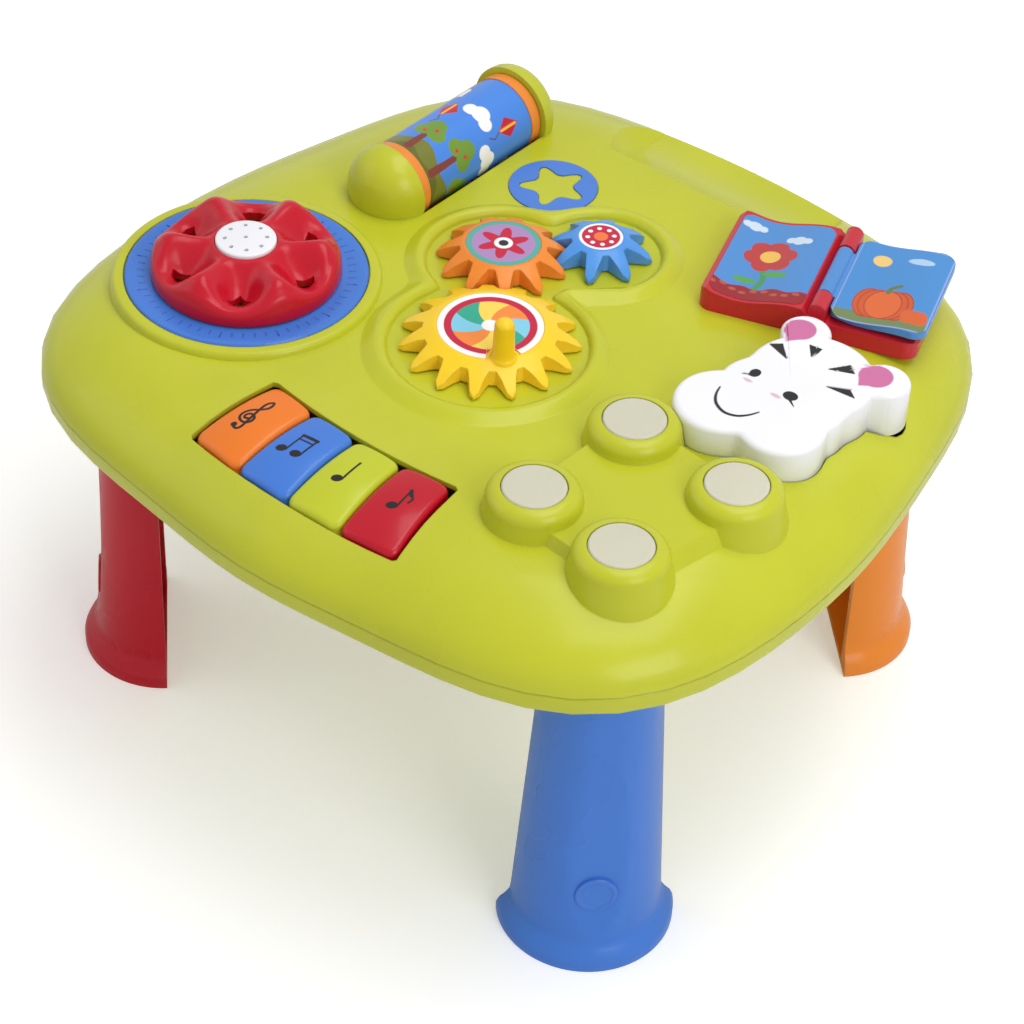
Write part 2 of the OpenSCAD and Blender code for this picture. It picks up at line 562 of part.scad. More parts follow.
speaker_at = [70, 70];
switch_at = [-30, -62];
module bottom_shell() color("yellowgreen") difference() {
    union() {
        difference() {
            loft([rim_ring(4, rim_z), rim_ring(1.2, rim_z + 1.2), rim_ring(0, rim_z + 4),
                  rim_ring(0, seam_z - 0.8), rim_ring(0.8, seam_z)]);
            loft([rim_ring(wall + 4, rim_z + wall), rim_ring(wall, rim_z + wall + 3),
                  rim_ring(wall, seam_z + 1)]);
        }
        // sockets of the legs
        for (i = [0 : 3]) leg_place(i)
            half_turn([[leg_high_r - 2.3, rim_z], [leg_high_r + 0.6, rim_z],
                [leg_high_r + 0.6, tenon_top - 6], [leg_high_r - 2.3, tenon_top - 6]]);
        for (b = boss_at) translate([b.x, b.y, rim_z]) cylinder(r = 5.5, h = seam_z - rim_z - 3.4);
        // walls of the battery bay
        translate([bay[0] - bay[2] / 2 - 2, bay[1] - bay[3] / 2 - 2, rim_z])
            cube([bay[2] + 4, bay[3] + 4, 21]);
        // ring that holds the speaker
        translate([speaker_at.x, speaker_at.y, rim_z + 1]) cylinder(r = 31, h = 9);
        // posts under the key board and the animal's pad
        for (at = key_board_posts) translate([at.x, at.y, rim_z + 1]) cylinder(r = 4, h = pad_z - 9.6 - rim_z - 1);
        translate([head_at.x, head_at.y, rim_z + 1]) cylinder(r = 12, h = 21);
    }
    for (i = [0 : 3]) leg_place(i) translate([0, 0, rim_z - 1])
        half_turn([[0, 0], [leg_high_r - 2.3, 0], [leg_high_r - 2.3, 40], [0, 40]]);
    for (b = boss_at) translate([b.x, b.y, rim_z - 1]) {
        cylinder(r = 1.8, h = 20, $fn = 24);
        cylinder(r = 4, h = 5.5, $fn = 32);
    }
    // the battery bay, in three rooms
    translate([bay[0] - bay[2] / 2, bay[1] - bay[3] / 2, rim_z - 1]) cube([bay[2], bay[3], 4.2]);
    translate([bay[0] - contact_x, bay[1] - bay[3] / 2, rim_z - 1]) cube([2 * contact_x, bay[3], 20]);
    translate([speaker_at.x, speaker_at.y, rim_z + wall]) cylinder(r = 28.8, h = 12);
    // grille
    translate([speaker_at.x, speaker_at.y, rim_z - 1]) for (k = [0 : 3])
        for (j = [0 : max(0, 6 * k - 1)]) rotate([0, 0, k == 0 ? 0 : j * 60 / k])
            translate([6.4 * k, 0, 0]) cylinder(r = 1.5, h = 6, $fn = 20);
    translate([switch_at.x - 8, switch_at.y - 4, rim_z - 1]) cube([16, 8, 6]);
    // hole for the door's screw
    translate([bay[0] + bay[2] / 2 - 9, bay[1], rim_z - 1]) cylinder(r = 1.4, h = 16);
}

// ---- Wheel ----
arm_phase = 38;
wheel_z = ring_z + 0.4;
// [radius, height in a scoop, height on an arm] above the wheel's underside
wheel_rows = [[wheel_r, 4, 4], [wheel_r - 0.9, 7.2, 9.6], [wheel_r - 3.4, 9.1, 15.6],
              [wheel_r - 6.8, 8.8, 19.6], [wheel_r - 10.5, 6.6, 21], [wheel_r - 15, 5.4, 20.8],
              [wheel_r - 21, 8.4, 19.8], [wheel_r - 27, 13.4, 19.2], [wheel_r - 32, 19.2, 19.2]];
wheel_steps = 72;
function arm_weight(a) = pow(0.5 + 0.5 * cos(6 * (a - arm_phase)), 1.15);
function wheel_ring(row) = [for (i = [0 : wheel_steps - 1]) let (a = i * 360 / wheel_steps,
    z = row[1] + (row[2] - row[1]) * arm_weight(a)) [row[0] * cos(a), row[0] * sin(a), z]];
module wheel() color("crimson") translate([wheel_at.x, wheel_at.y, wheel_z]) difference() {
    union() {
        loft([[for (i = [0 : wheel_steps - 1]) let (a = i * 360 / wheel_steps)
                  [(wheel_r - 1) * cos(a), (wheel_r - 1) * sin(a), 0]],
              [for (i = [0 : wheel_steps - 1]) let (a = i * 360 / wheel_steps)
                  [wheel_r * cos(a), wheel_r * sin(a), 1.2]],
              each [for (row = wheel_rows) wheel_ring(row)]]);
    }
    translate([0, 0, -1]) cylinder(r = wheel_post_r + post_fit, h = 12.9);
    cylinder(r = 2, h = 40);
    translate([0, 0, 14.8]) cylinder(r = 14, h = 12);
    translate([0, 0, 17.2]) cylinder(r = 16.3, h = 12);
    // openings between the arms
    for (k = [0 : 5]) rotate([0, 0, arm_phase + 30 + 60 * k]) translate([0, 0, -1])
        linear_extrude(30) polygon([[31, 0], [38.5, -6.5], [41, -3], [41, 3], [38.5, 6.5]]);
    // hollow underside
    translate([0, 0, -1]) difference() {
        cylinder(r = 44, h = 3.6);
        cylinder(r = 12.5, h = 5);
    }
}
module wheel_hub_cap() color("white") translate([wheel_at.x, wheel_at.y, wheel_z]) difference() {
    translate([0, 0, 17.3]) rotate_extrude() polygon([[0, 0], [16, 0], [16, 2.6],
        each [for (a = [0 : 15 : 90]) [14.8 + 1.2 * cos(a), 2.6 + 1.2 * sin(a)]], [0, 4.4]]);
    for (k = [0 : 8]) rotate([0, 0, 45 * k]) translate([k == 8 ? 0 : 11, 0, 15])
        cylinder(r = 1.1, h = 10, $fn = 20);
}
module wheel_screw() color("silver") translate([wheel_at.x, wheel_at.y, wheel_z]) {
    translate([0, 0, 15]) cylinder(r = 7, h = 1.2);
    translate([0, 0, 2]) cylinder(r = 1.35, h = 14);
}
module dial_ring() color("cornflowerblue") translate([wheel_at.x, wheel_at.y, 0]) difference() {
    rotate_extrude() polygon([[wheel_post_r + 0.6, ring_z - 2], [64, ring_z - 2], [64, ring_z - 0.4],
        [63.2, ring_z + 0.6], [61.5, ring_z + 0.8], [52, ring_z + 0.1], [wheel_post_r + 0.6, ring_z + 0.1]]);
    // graduations pressed into the rim
    for (k = [0 : 59]) rotate([0, 0, 6 * k]) translate([53.5, -0.35, ring_z])
        cube([k % 5 == 0 ? 5.5 : 3.6, 0.7, 2]);
}

// ---- Lens buttons ----
module lens(i) color("gainsboro") translate([lens_at[i].x, lens_at[i].y, 0]) rotate_extrude() polygon([
    [0, lens_z - 2.4], [lens_r - 3, lens_z - 2.4], [lens_r - 3, lens_z - 8], [lens_r + 2.4, lens_z - 8],
    [lens_r + 2.4, lens_z - 4.4], [lens_r, lens_z - 4.4], [lens_r, lens_z - 0.8],
    [lens_r - 0.8, lens_z], [lens_r / 2, lens_z + 0.25], [0, lens_z + 0.35]]);
module lens_a() lens(0);
module lens_b() lens(1);
module lens_c() lens(2);
module lens_d() lens(3);

// ---- Inside ----
module button_board() color("darkgreen") translate([0, 0, board_z]) linear_extrude(1.6)
    hull() for (at = lens_at) translate([at.x, at.y]) circle(r = 15, $fn = 32);
module lamps() color("white") for (at = lens_at) translate([at.x, at.y, board_z + 1.6]) {
    cylinder(r = 2.5, h = 6, $fn = 32);
    translate([0, 0, 6]) sphere(r = 2.5, $fn = 32);
}
module switch_pads() color("dimgray") {
    for (at = lens_at) translate([at.x, at.y, board_z + 1.6]) difference() {
        cylinder(r1 = 12, r2 = 14.5, h = lens_z - 8 - board_z - 1.6);
        translate([0, 0, -1]) cylinder(r = 10, h = 20);
    }
}
module main_board() color("darkgreen") translate([-62, -182, pad_z - 9.6]) difference() {
    cube([136, 48, 1.6]);
    for (at = key_board_posts) translate([at.x + 62, at.y + 182, -1]) cylinder(r = 1.5, h = 4);
}
module speaker() color("dimgray") translate([speaker_at.x, speaker_at.y, rim_z + wall]) {
    difference() {
        cylinder(r = 28.5, h = 3);
        translate([0, 0, -1]) cylinder(r = 24.5, h = 5);
    }
    translate([0, 0, 0.4]) difference() {
        cylinder(r1 = 25, r2 = 12, h = 9);
        translate([0, 0, -2]) cylinder(r1 = 25, r2 = 10.5, h = 9);
    }
    translate([0, 0, 8]) cylinder(r = 14, h = 7);
}
cell_r = 7.1;
module battery_cells() color("dimgray") for (k = [-1 : 1])
    translate([bay[0] - contact_x + 0.8, bay[1] + k * 18, rim_z + 3.4 + cell_r]) rotate([0, 90, 0]) {
        cylinder(r = cell_r, h = 49.6);
        translate([0, 0, 49.6]) cylinder(r = 2.7, h = 2 * contact_x - 51.2);
    }
module battery_contacts() color("silver") for (s = [-1, 1], k = [-1 : 1])
    translate([bay[0] + s * contact_x - (s > 0 ? 0.8 : 0), bay[1] + k * 18 - 6, rim_z + 4])
        cube([0.8, 12, 14]);
module battery_door() color("yellowgreen") difference() {
    union() {
        translate([bay[0] - bay[2] / 2 + 0.4, bay[1] - bay[3] / 2 + 0.4, rim_z + 0.2])
            cube([bay[2] - 0.8, bay[3] - 0.8, 3]);
        for (k = [-1 : 1]) translate([bay[0] - 18, bay[1] + k * 18 - 1, rim_z + 2.4]) cube([36, 2, 1]);
    }
    translate([bay[0] + bay[2] / 2 - 9, bay[1], rim_z - 1]) {
        cylinder(r = 1.8, h = 6);
        cylinder(r = 3.6, h = 2.4);
    }
}
module battery_screw() color("silver")
    translate([bay[0] + bay[2] / 2 - 9, bay[1], rim_z + 0.4]) {
        cylinder(r = 3.2, h = 1);
        cylinder(r = 1.35, h = 12);
    }
module power_switch() color("dimgray") translate([switch_at.x - 4, switch_at.y, 0]) {
    translate([-3.4, -3.6, rim_z - 1]) cube([6.8, 7.2, 4.6]);
    translate([-12, -6, rim_z + wall + 0.1]) cube([24, 12, 1.6]);
}
module case_screws() color("silver") for (b = boss_at) translate([b.x, b.y, rim_z + 4.5]) {
    translate([0, 0, -2]) cylinder(r = 3.4, h = 2);
    translate([0, 0, -1]) cylinder(r = 1.35, h = 17);
}

top_shell();
bottom_shell();
leg_red();
leg_blue();
leg_orange();
leg_yellow();
dial_ring();
wheel();
wheel_hub_cap();
wheel_screw();
gear_yellow();
gear_orange();
gear_blue();
gear_label_yellow();
gear_label_orange();
gear_label_blue();
gear_screws();
drum_barrel();
drum_cap_front();
drum_cap_rear();
drum_axle();
star_plate();
book_base();
book_leaf();
book_pin();
animal_head();
animal_pad();
key_orange();
key_blue();
key_lime();
key_red();
lens_a();
lens_b();
lens_c();
lens_d();
button_board();
lamps();
switch_pads();
key_pads();
main_board();
speaker();
battery_door();
battery_cells();
battery_contacts();
battery_screw();
power_switch();
case_screws();
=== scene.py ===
# %% [markdown]
# # A musical activity table for small children
# A moulded table top stands on four push-fit legs and carries a steering wheel, three meshed
# gears, a rolling drum, a page to turn, four piano keys, an animal button and four light
# buttons. The CAD model already has every part in its right place and size. This lesson
# gives those parts their looks: softened edges, moulded plastic, printed labels and rubber.

# %% Load the frame
import json
import math

import bmesh
import bpy
import numpy as np
from mathutils import Matrix, Vector


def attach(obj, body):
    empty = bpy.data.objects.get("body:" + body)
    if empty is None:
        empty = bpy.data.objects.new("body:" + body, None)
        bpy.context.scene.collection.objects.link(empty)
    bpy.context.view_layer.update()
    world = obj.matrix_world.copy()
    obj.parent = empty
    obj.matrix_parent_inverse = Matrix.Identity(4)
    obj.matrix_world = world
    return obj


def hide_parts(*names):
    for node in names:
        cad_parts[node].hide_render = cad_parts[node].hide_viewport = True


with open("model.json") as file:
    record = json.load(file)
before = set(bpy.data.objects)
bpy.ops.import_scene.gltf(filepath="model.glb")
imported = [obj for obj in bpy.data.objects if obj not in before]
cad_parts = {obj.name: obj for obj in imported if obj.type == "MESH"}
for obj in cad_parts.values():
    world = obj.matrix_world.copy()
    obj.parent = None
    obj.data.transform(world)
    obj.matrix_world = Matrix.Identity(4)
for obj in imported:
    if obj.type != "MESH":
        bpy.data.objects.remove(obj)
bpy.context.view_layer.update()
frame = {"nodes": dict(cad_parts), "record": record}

# %% [markdown]
# ## The camera
# The camera stands where the photographer stood: in front of the table, to the right, looking
# down at about 41 degrees through a long lens. Its three directions are written out as unit
# vectors, which is plainer than a set of turning angles when the picture is slightly tilted.

# %% Place the camera
camera = bpy.data.objects.new("camera", bpy.data.cameras.new("camera"))
bpy.context.collection.objects.link(camera)
to_right = Vector((0.76602, 0.64179, 0.03638))
to_foot = Vector((0.44481, -0.48835, -0.75077))
ahead = Vector((-0.46408, 0.59128, -0.65956))
turned = Matrix((to_right, -to_foot, -ahead)).transposed().to_4x4()
camera.matrix_world = Matrix.Translation((0.73953, -0.94609, 1.156)) @ turned
camera.data.sensor_width = 36
camera.data.lens = 101.88
camera.data.clip_start, camera.data.clip_end = 0.05, 50
bpy.context.scene.camera = camera
print("camera height:", round(camera.location.z, 3), "m")

# %% [markdown]
# ## Light and floor
# The product was lit by large soft boxes on a white sweep, so shadows are pale and wide. Three
# area lamps and an even world give that light at a plain level. The white background comes
# from the world as the camera and the reflections see it. The floor shines a little for the
# camera alone, so it stays near white and keeps the shadow.

# %% Light the studio
AIM = (0, 0, 0.2)
WORLD_LEVEL, WORLD_SEEN = 0.44, 1.0


def soft_box(name, at, size, power):
    lamp = bpy.data.objects.new(name, bpy.data.lights.new(name, "AREA"))
    lamp.data.shape = "RECTANGLE"
    lamp.data.size, lamp.data.size_y = size
    lamp.data.energy = power
    lamp.location = at
    lamp.rotation_mode = "QUATERNION"
    lamp.rotation_quaternion = (Vector(AIM) - Vector(at)).to_track_quat("-Z", "Y")
    bpy.context.collection.objects.link(lamp)
    return lamp


soft_box("box_over", (0.3, 0.3, 2.1), (1.7, 1.1), 20)
soft_box("box_right", (1.7, -0.5, 1.3), (1.0, 1.0), 12)
soft_box("box_left", (-1.6, -1.1, 1.4), (1.2, 1.2), 3.5)

scene = bpy.context.scene
scene.view_settings.view_transform = "Standard"
world = scene.world = bpy.data.worlds.new("studio")
world.use_nodes = True
tree = world.node_tree
background = tree.nodes["Background"]
seen = tree.nodes.new("ShaderNodeLightPath")
level = tree.nodes.new("ShaderNodeMix")
level.data_type = "FLOAT"
level.inputs["A"].default_value = WORLD_LEVEL
level.inputs["B"].default_value = WORLD_SEEN
shown = seen.outputs["Is Camera Ray"]
for ray in ("Is Glossy Ray", "Is Transmission Ray"):
    either = tree.nodes.new("ShaderNodeMath")
    either.operation = "MAXIMUM"
    tree.links.new(shown, either.inputs[0])
    tree.links.new(seen.outputs[ray], either.inputs[1])
    shown = either.outputs[0]
tree.links.new(shown, level.inputs["Factor"])
tree.links.new(level.outputs["Result"], background.inputs["Strength"])
background.inputs["Color"].default_value = (1, 1, 1, 1)

# %% Lay the floor
FLOOR_HALF = 8
PAPER = 0.93
PAPER_GLOW = 0.3
floor_mesh = bpy.data.meshes.new("floor")
corners = [(sx * FLOOR_HALF, sy * FLOOR_HALF, 0) for sx, sy in ((-1, -1), (1, -1), (1, 1), (-1, 1))]
floor_mesh.from_pydata(corners, [], [(0, 1, 2, 3)])
floor = bpy.data.objects.new("floor", floor_mesh)
bpy.context.collection.objects.link(floor)
paper = bpy.data.materials.new("studio_paper")
paper.use_nodes = True
surface = paper.node_tree.nodes["Principled BSDF"]
surface.inputs["Base Color"].default_value = (PAPER, PAPER, PAPER, 1)
surface.inputs["Roughness"].default_value = 0.9
eye = paper.node_tree.nodes.new("ShaderNodeLightPath")
lift = paper.node_tree.nodes.new("ShaderNodeMath")
lift.operation = "MULTIPLY"
lift.inputs[1].default_value = PAPER_GLOW
paper.node_tree.links.new(eye.outputs["Is Camera Ray"], lift.inputs[0])
surface.inputs["Emission Color"].default_value = (0.98, 0.98, 1.0, 1)
paper.node_tree.links.new(lift.outputs[0], surface.inputs["Emission Strength"])
floor_mesh.materials.append(paper)
print("floor:", floor_mesh.name)

# %% [markdown]
# ## Moulded plastic
# Every coloured part is injection moulded, in glossy but not mirror-like plastic. Real mouldings
# are never one flat colour: there is a fine grain, a slow waviness in colour and gloss, and
# rubbed, slightly paler edges. One node group makes all three, and each material uses it with
# its own colour, so the look stays one family.

# %% Build the moulding group
def add_node(tree, kind, at, **values):
    node = tree.nodes.new(kind)
    node.location = at
    for key, value in values.items():
        setattr(node, key, value)
    return node


def new_group(name, inputs, outputs):
    group = bpy.data.node_groups.new(name, "ShaderNodeTree")
    for label, kind, value in inputs:
        socket = group.interface.new_socket(label, in_out="INPUT", socket_type=kind)
        if value is not None:
            socket.default_value = value
    for label, kind in outputs:
        group.interface.new_socket(label, in_out="OUTPUT", socket_type=kind)
    start = group.nodes.new("NodeGroupInput")
    end = group.nodes.new("NodeGroupOutput")
    return group, start, end


COLOR, FLOAT, VECTOR = "NodeSocketColor", "NodeSocketFloat", "NodeSocketVector"
skin, put_in, put_out = new_group(
    "moulded_skin",
    [("Colour", COLOR, (0.5, 0.5, 0.5, 1)), ("Roughness", FLOAT, 0.3), ("Mottle", FLOAT, 0.05),
     ("Grain size", FLOAT, 1400.0), ("Rub", FLOAT, 0.25)],
    [("Colour", COLOR), ("Roughness", FLOAT), ("Height", FLOAT)])
place = add_node(skin, "ShaderNodeTexCoord", (-900, 0))
broad = add_node(skin, "ShaderNodeTexNoise", (-700, 200))
broad.inputs["Scale"].default_value = 14
broad.inputs["Detail"].default_value = 3
fine = add_node(skin, "ShaderNodeTexNoise", (-700, -100))
fine.inputs["Detail"].default_value = 2
edges = add_node(skin, "ShaderNodeNewGeometry", (-700, -350))
rub = add_node(skin, "ShaderNodeMapRange", (-500, -350))
rub.inputs["From Min"].default_value = 0.53
rub.inputs["From Max"].default_value = 0.62
shade = add_node(skin, "ShaderNodeMapRange", (-500, 200))
shade.inputs["From Min"].default_value = 0.3
shade.inputs["From Max"].default_value = 0.7
span = add_node(skin, "ShaderNodeMath", (-650, 420), operation="SUBTRACT")
span.inputs[0].default_value = 1.0
high = add_node(skin, "ShaderNodeMath", (-650, 560), operation="ADD")
high.inputs[0].default_value = 1.0
tinted = add_node(skin, "ShaderNodeVectorMath", (-280, 200), operation="SCALE")
paler = add_node(skin, "ShaderNodeMix", (-80, 150), data_type="RGBA")
rubbed = add_node(skin, "ShaderNodeMath", (-280, -350), operation="MULTIPLY")
half_rub = add_node(skin, "ShaderNodeMath", (-180, -350), operation="MULTIPLY")
half_rub.inputs[1].default_value = 0.35
gloss = add_node(skin, "ShaderNodeMath", (-280, -60), operation="MULTIPLY_ADD")
gloss.inputs[1].default_value = 0.12
link = skin.links.new
link(place.outputs["Object"], broad.inputs["Vector"])
link(place.outputs["Object"], fine.inputs["Vector"])
link(put_in.outputs["Grain size"], fine.inputs["Scale"])
link(put_in.outputs["Mottle"], span.inputs[1])
link(put_in.outputs["Mottle"], high.inputs[1])
link(broad.outputs["Fac"], shade.inputs["Value"])
link(span.outputs[0], shade.inputs["To Min"])
link(high.outputs[0], shade.inputs["To Max"])
link(put_in.outputs["Colour"], tinted.inputs[0])
link(shade.outputs["Result"], tinted.inputs["Scale"])
link(edges.outputs["Pointiness"], rub.inputs["Value"])
link(rub.outputs["Result"], rubbed.inputs[0])
link(put_in.outputs["Rub"], rubbed.inputs[1])
link(rubbed.outputs[0], half_rub.inputs[0])
link(half_rub.outputs[0], paler.inputs["Factor"])
link(tinted.outputs[0], paler.inputs["A"])
paler.inputs["B"].default_value = (1, 1, 1, 1)
link(paler.outputs["Result"], put_out.inputs["Colour"])
link(broad.outputs["Fac"], gloss.inputs[0])
link(put_in.outputs["Roughness"], gloss.inputs[2])
link(gloss.outputs[0], put_out.inputs["Roughness"])
link(fine.outputs["Fac"], put_out.inputs["Height"])
print("group:", skin.name, "with", len(skin.nodes), "nodes")

# %% Make the plastics
def linear(r, g, b):
    """A screen colour of 0 to 255, as the light values that a shader wants."""
    return [((c / 255 + 0.055) / 1.055) ** 2.4 if c > 10 else c / 255 / 12.92 for c in (r, g, b)]


def moulded(name, colour=None, roughness=0.22, grain=0.02, mottle=0.04, coat=0.1, rub=0.05,
            edge=0.0006):
    """Moulded plastic in one colour, or printed with the colours of the mesh's own attribute."""
    material = bpy.data.materials.new(name)
    material.use_nodes = True
    nodes, links = material.node_tree.nodes, material.node_tree.links
    surface = nodes["Principled BSDF"]
    texture = nodes.new("ShaderNodeGroup")
    texture.node_tree = skin
    if colour:
        texture.inputs["Colour"].default_value = (*linear(*colour), 1)
    else:
        ink = nodes.new("ShaderNodeAttribute")
        ink.attribute_name = "print"
        links.new(ink.outputs["Color"], texture.inputs["Colour"])
    texture.inputs["Roughness"].default_value = roughness
    texture.inputs["Mottle"].default_value = mottle
    texture.inputs["Rub"].default_value = rub
    relief = nodes.new("ShaderNodeBump")
    relief.inputs["Strength"].default_value = grain
    relief.inputs["Distance"].default_value = 0.0005
    if edge:
        rounded = nodes.new("ShaderNodeBevel")
        rounded.samples = 4
        rounded.inputs["Radius"].default_value = edge
        links.new(rounded.outputs["Normal"], relief.inputs["Normal"])
    links.new(texture.outputs["Colour"], surface.inputs["Base Color"])
    links.new(texture.outputs["Roughness"], surface.inputs["Roughness"])
    links.new(texture.outputs["Height"], relief.inputs["Height"])
    links.new(relief.outputs["Normal"], surface.inputs["Normal"])
    surface.inputs["Specular IOR Level"].default_value = 0.25
    surface.inputs["Coat Weight"].default_value = coat
    surface.inputs["Coat Roughness"].default_value = 0.1
    return material


LIME, RED, BLUE, ORANGE, YELLOW = ((192, 196, 44), (194, 8, 36), (66, 122, 212), (238, 138, 44),
                                   (250, 208, 34))
PLASTIC = {
    "lime_plastic": moulded("lime_moulding", LIME, edge=0.0012),
    "red_plastic": moulded("red_moulding", RED),
    "blue_plastic": moulded("blue_moulding", BLUE),
    "gear_blue_plastic": moulded("gear_blue_moulding", (80, 150, 228), edge=0.0012),
    "page_blue_plastic": moulded("page_blue_moulding", (72, 138, 208)),
    "orange_plastic": moulded("orange_moulding", ORANGE, edge=0.0012),
    "yellow_plastic": moulded("yellow_moulding", YELLOW, edge=0.0012),
    "white_plastic": moulded("white_moulding", (238, 238, 243), roughness=0.3),
    "lens_plastic": moulded("lens_moulding", (208, 205, 184), roughness=0.34, grain=0.08),
    "steel": moulded("plated_steel", (190, 190, 190), roughness=0.3, edge=0),
    "board_green": moulded("board_lacquer", (30, 110, 60), roughness=0.35, edge=0),
    "pad_rubber": moulded("pad_rubber", (60, 60, 62), roughness=0.6, edge=0),
    "dark_plastic": moulded("dark_moulding", (45, 45, 48), roughness=0.4, edge=0),
}
PRINTED = moulded("printed_label", roughness=0.26, grain=0.01, mottle=0.02, rub=0.0, edge=0)
PRINTED_MOULDING = moulded("printed_moulding", roughness=0.2, mottle=0.03, rub=0.0, edge=0)
PLASTIC["steel"].node_tree.nodes["Principled BSDF"].inputs["Metallic"].default_value = 1.0
glow = PLASTIC["lens_plastic"].node_tree.nodes["Principled BSDF"]
glow.inputs["Subsurface Weight"].default_value = 0.5
glow.inputs["Subsurface Radius"].default_value = (0.004, 0.004, 0.003)
glow.inputs["Subsurface Scale"].default_value = 1.0
print("materials:", ", ".join(PLASTIC))

# %% [markdown]
# ## Softened parts
# A moulded edge is never sharp. Most nodes keep their CAD shape: a copy is merged into clean
# faces and its shading follows the larger faces, so flats stay flat and curves run smooth. The
# material rounds what is still sharp, with a normal that looks a short way round each corner.

# %% Soften the CAD nodes
slot_of = {s["node"]: s["material_slot"] for s in frame["record"]["subparts"]}
body_of = {n: b for b, ns in frame["record"]["behaviour"]["bodies"].items() for n in ns}


def settle(piece, node, replace=True):
    """Let a piece ride with a node's body; unless replace is False, the node is hidden."""
    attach(piece, body_of[node])
    if replace:
        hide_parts(node)
    return piece


def softened(node, angle=38):
    source = frame["nodes"][node]
    mesh = source.data.copy()
    mesh.materials.clear()
    mesh.materials.append(PLASTIC[slot_of[node]])
    work = bmesh.new()
    work.from_mesh(mesh)
    bmesh.ops.remove_doubles(work, verts=work.verts, dist=2e-6)
    for face in work.faces:
        face.smooth = True
        face.material_index = 0
    for line in work.edges:
        line.smooth = line.calc_face_angle(0) < math.radians(angle)
    work.to_mesh(mesh)
    work.free()
    piece = bpy.data.objects.new(node + "_look", mesh)
    bpy.context.collection.objects.link(piece)
    even = piece.modifiers.new("even_shading", "WEIGHTED_NORMAL")
    even.keep_sharp = True
    return settle(piece, node)


REBUILT = ["wheel", "animal_head", "drum_barrel", "key_orange", "key_blue", "key_lime", "key_red",
           "gear_label_yellow", "gear_label_orange", "gear_label_blue"]
done = [softened(node) for node in frame["nodes"] if node not in REBUILT]
print("softened:", len(done))

# %% [markdown]
# ## Drawing with distances
# The labels and pictures are drawn by formula. Each shape gives its distance from every point
# of a fine mesh, in millimetres: below zero is inside. Where the distance crosses zero the
# shape's colour covers what is under it, over a quarter of a millimetre, so its edge is clean.
# The colours stay on the mesh as an attribute, which the printed materials read.

# %% Write the drawing tools
FOOT_EDGE = 0.4   # a base without a flange draws in and rises by this


def disc(x, y, cx, cy, rx, ry=None):
    ry = ry or rx
    return (np.hypot((x - cx) / rx, (y - cy) / ry) - 1) * min(rx, ry)


def stroke(x, y, points, width):
    """A line of round-ended pieces through points; width is one number or one per point."""
    widths = width if isinstance(width, (list, tuple)) else [width] * len(points)
    best = np.full(np.shape(x), 1e9)
    for (ax, ay), (bx, by), wa, wb in zip(points, points[1:], widths, widths[1:]):
        ex, ey = bx - ax, by - ay
        t = np.clip(((x - ax) * ex + (y - ay) * ey) / (ex * ex + ey * ey + 1e-9), 0, 1)
        half = (wa + (wb - wa) * t) / 2
        best = np.minimum(best, np.hypot(x - ax - t * ex, y - ay - t * ey) - half)
    return best


def polygon(x, y, points, soft=0.0):
    """Distance to a polygon, its corners in order, grown and rounded by soft."""
    inside = np.zeros(np.shape(x), bool)
    near = np.full(np.shape(x), 1e9)
    for (ax, ay), (bx, by) in zip(points, points[1:] + points[:1]):
        ex, ey = bx - ax, by - ay
        t = np.clip(((x - ax) * ex + (y - ay) * ey) / (ex * ex + ey * ey), 0, 1)
        near = np.minimum(near, np.hypot(x - ax - t * ex, y - ay - t * ey))
        if ay != by:
            inside ^= ((ay > y) != (by > y)) & (x < ex * (y - ay) / ey + ax)
    return np.where(inside, -near, near) - soft


def cover(paint, colour, distance, edge=0.25):
    """Lay one colour over the paint where the distance is below zero."""
    share = np.clip(0.5 - distance / edge, 0, 1)[:, None]
    paint[:] = paint * (1 - share) + np.array(linear(*colour)) * share


def blank(x, colour):
    return np.tile(np.array(linear(*colour)), (len(x), 1))


def smooth_line(points, steps=6):
    """A curve through points (Catmull-Rom), as a longer list of points."""
    p = [points[0]] + list(points) + [points[-1]]
    out = []
    for a, b, c, d in zip(p, p[1:], p[2:], p[3:]):
        for k in range(steps):
            t = k / steps
            out.append(tuple(0.5 * (2 * b[i] + (c[i] - a[i]) * t
                       + (2 * a[i] - 5 * b[i] + 4 * c[i] - d[i]) * t * t
                       + (3 * b[i] - a[i] - 3 * c[i] + d[i]) * t ** 3) for i in (0, 1)))
    return out + [points[-1]]


def ring_mesh(name, rings, material, colours=None, caps=True):
    """One closed mesh through rings of points in mm, lowest first; caps adds the two ends."""
    count, turns = len(rings[0]), len(rings)
    points = np.concatenate(rings)
    faces = []
    last = turns if not caps else turns - 1
    for k in range(last):
        m = (k + 1) % turns
        faces += [(k * count + i, k * count + (i + 1) % count, m * count + (i + 1) % count,
                   m * count + i) for i in range(count)]
    if caps:
        low, top = len(points), len(points) + 1
        points = np.vstack([points, rings[0].mean(0), rings[-1].mean(0)])
        faces += [(low, (i + 1) % count, i) for i in range(count)]
        base = (turns - 1) * count
        faces += [(top, base + i, base + (i + 1) % count) for i in range(count)]
    mesh = bpy.data.meshes.new(name)
    mesh.from_pydata((points / 1000).tolist(), [], faces)
    mesh.polygons.foreach_set("use_smooth", [True] * len(mesh.polygons))
    mesh.materials.append(material)
    if colours is not None:
        if caps:
            colours = np.vstack([colours, colours[:count].mean(0), colours[base:base + count].mean(0)])
        layer = mesh.color_attributes.new("print", "FLOAT_COLOR", "POINT")
        layer.data.foreach_set("color", np.c_[colours, np.ones(len(colours))].ravel())
    piece = bpy.data.objects.new(name, mesh)
    bpy.context.collection.objects.link(piece)
    return piece


def flat(height):
    """A top or underside at one height, for plate."""
    return lambda x, y: np.full(len(x), height)


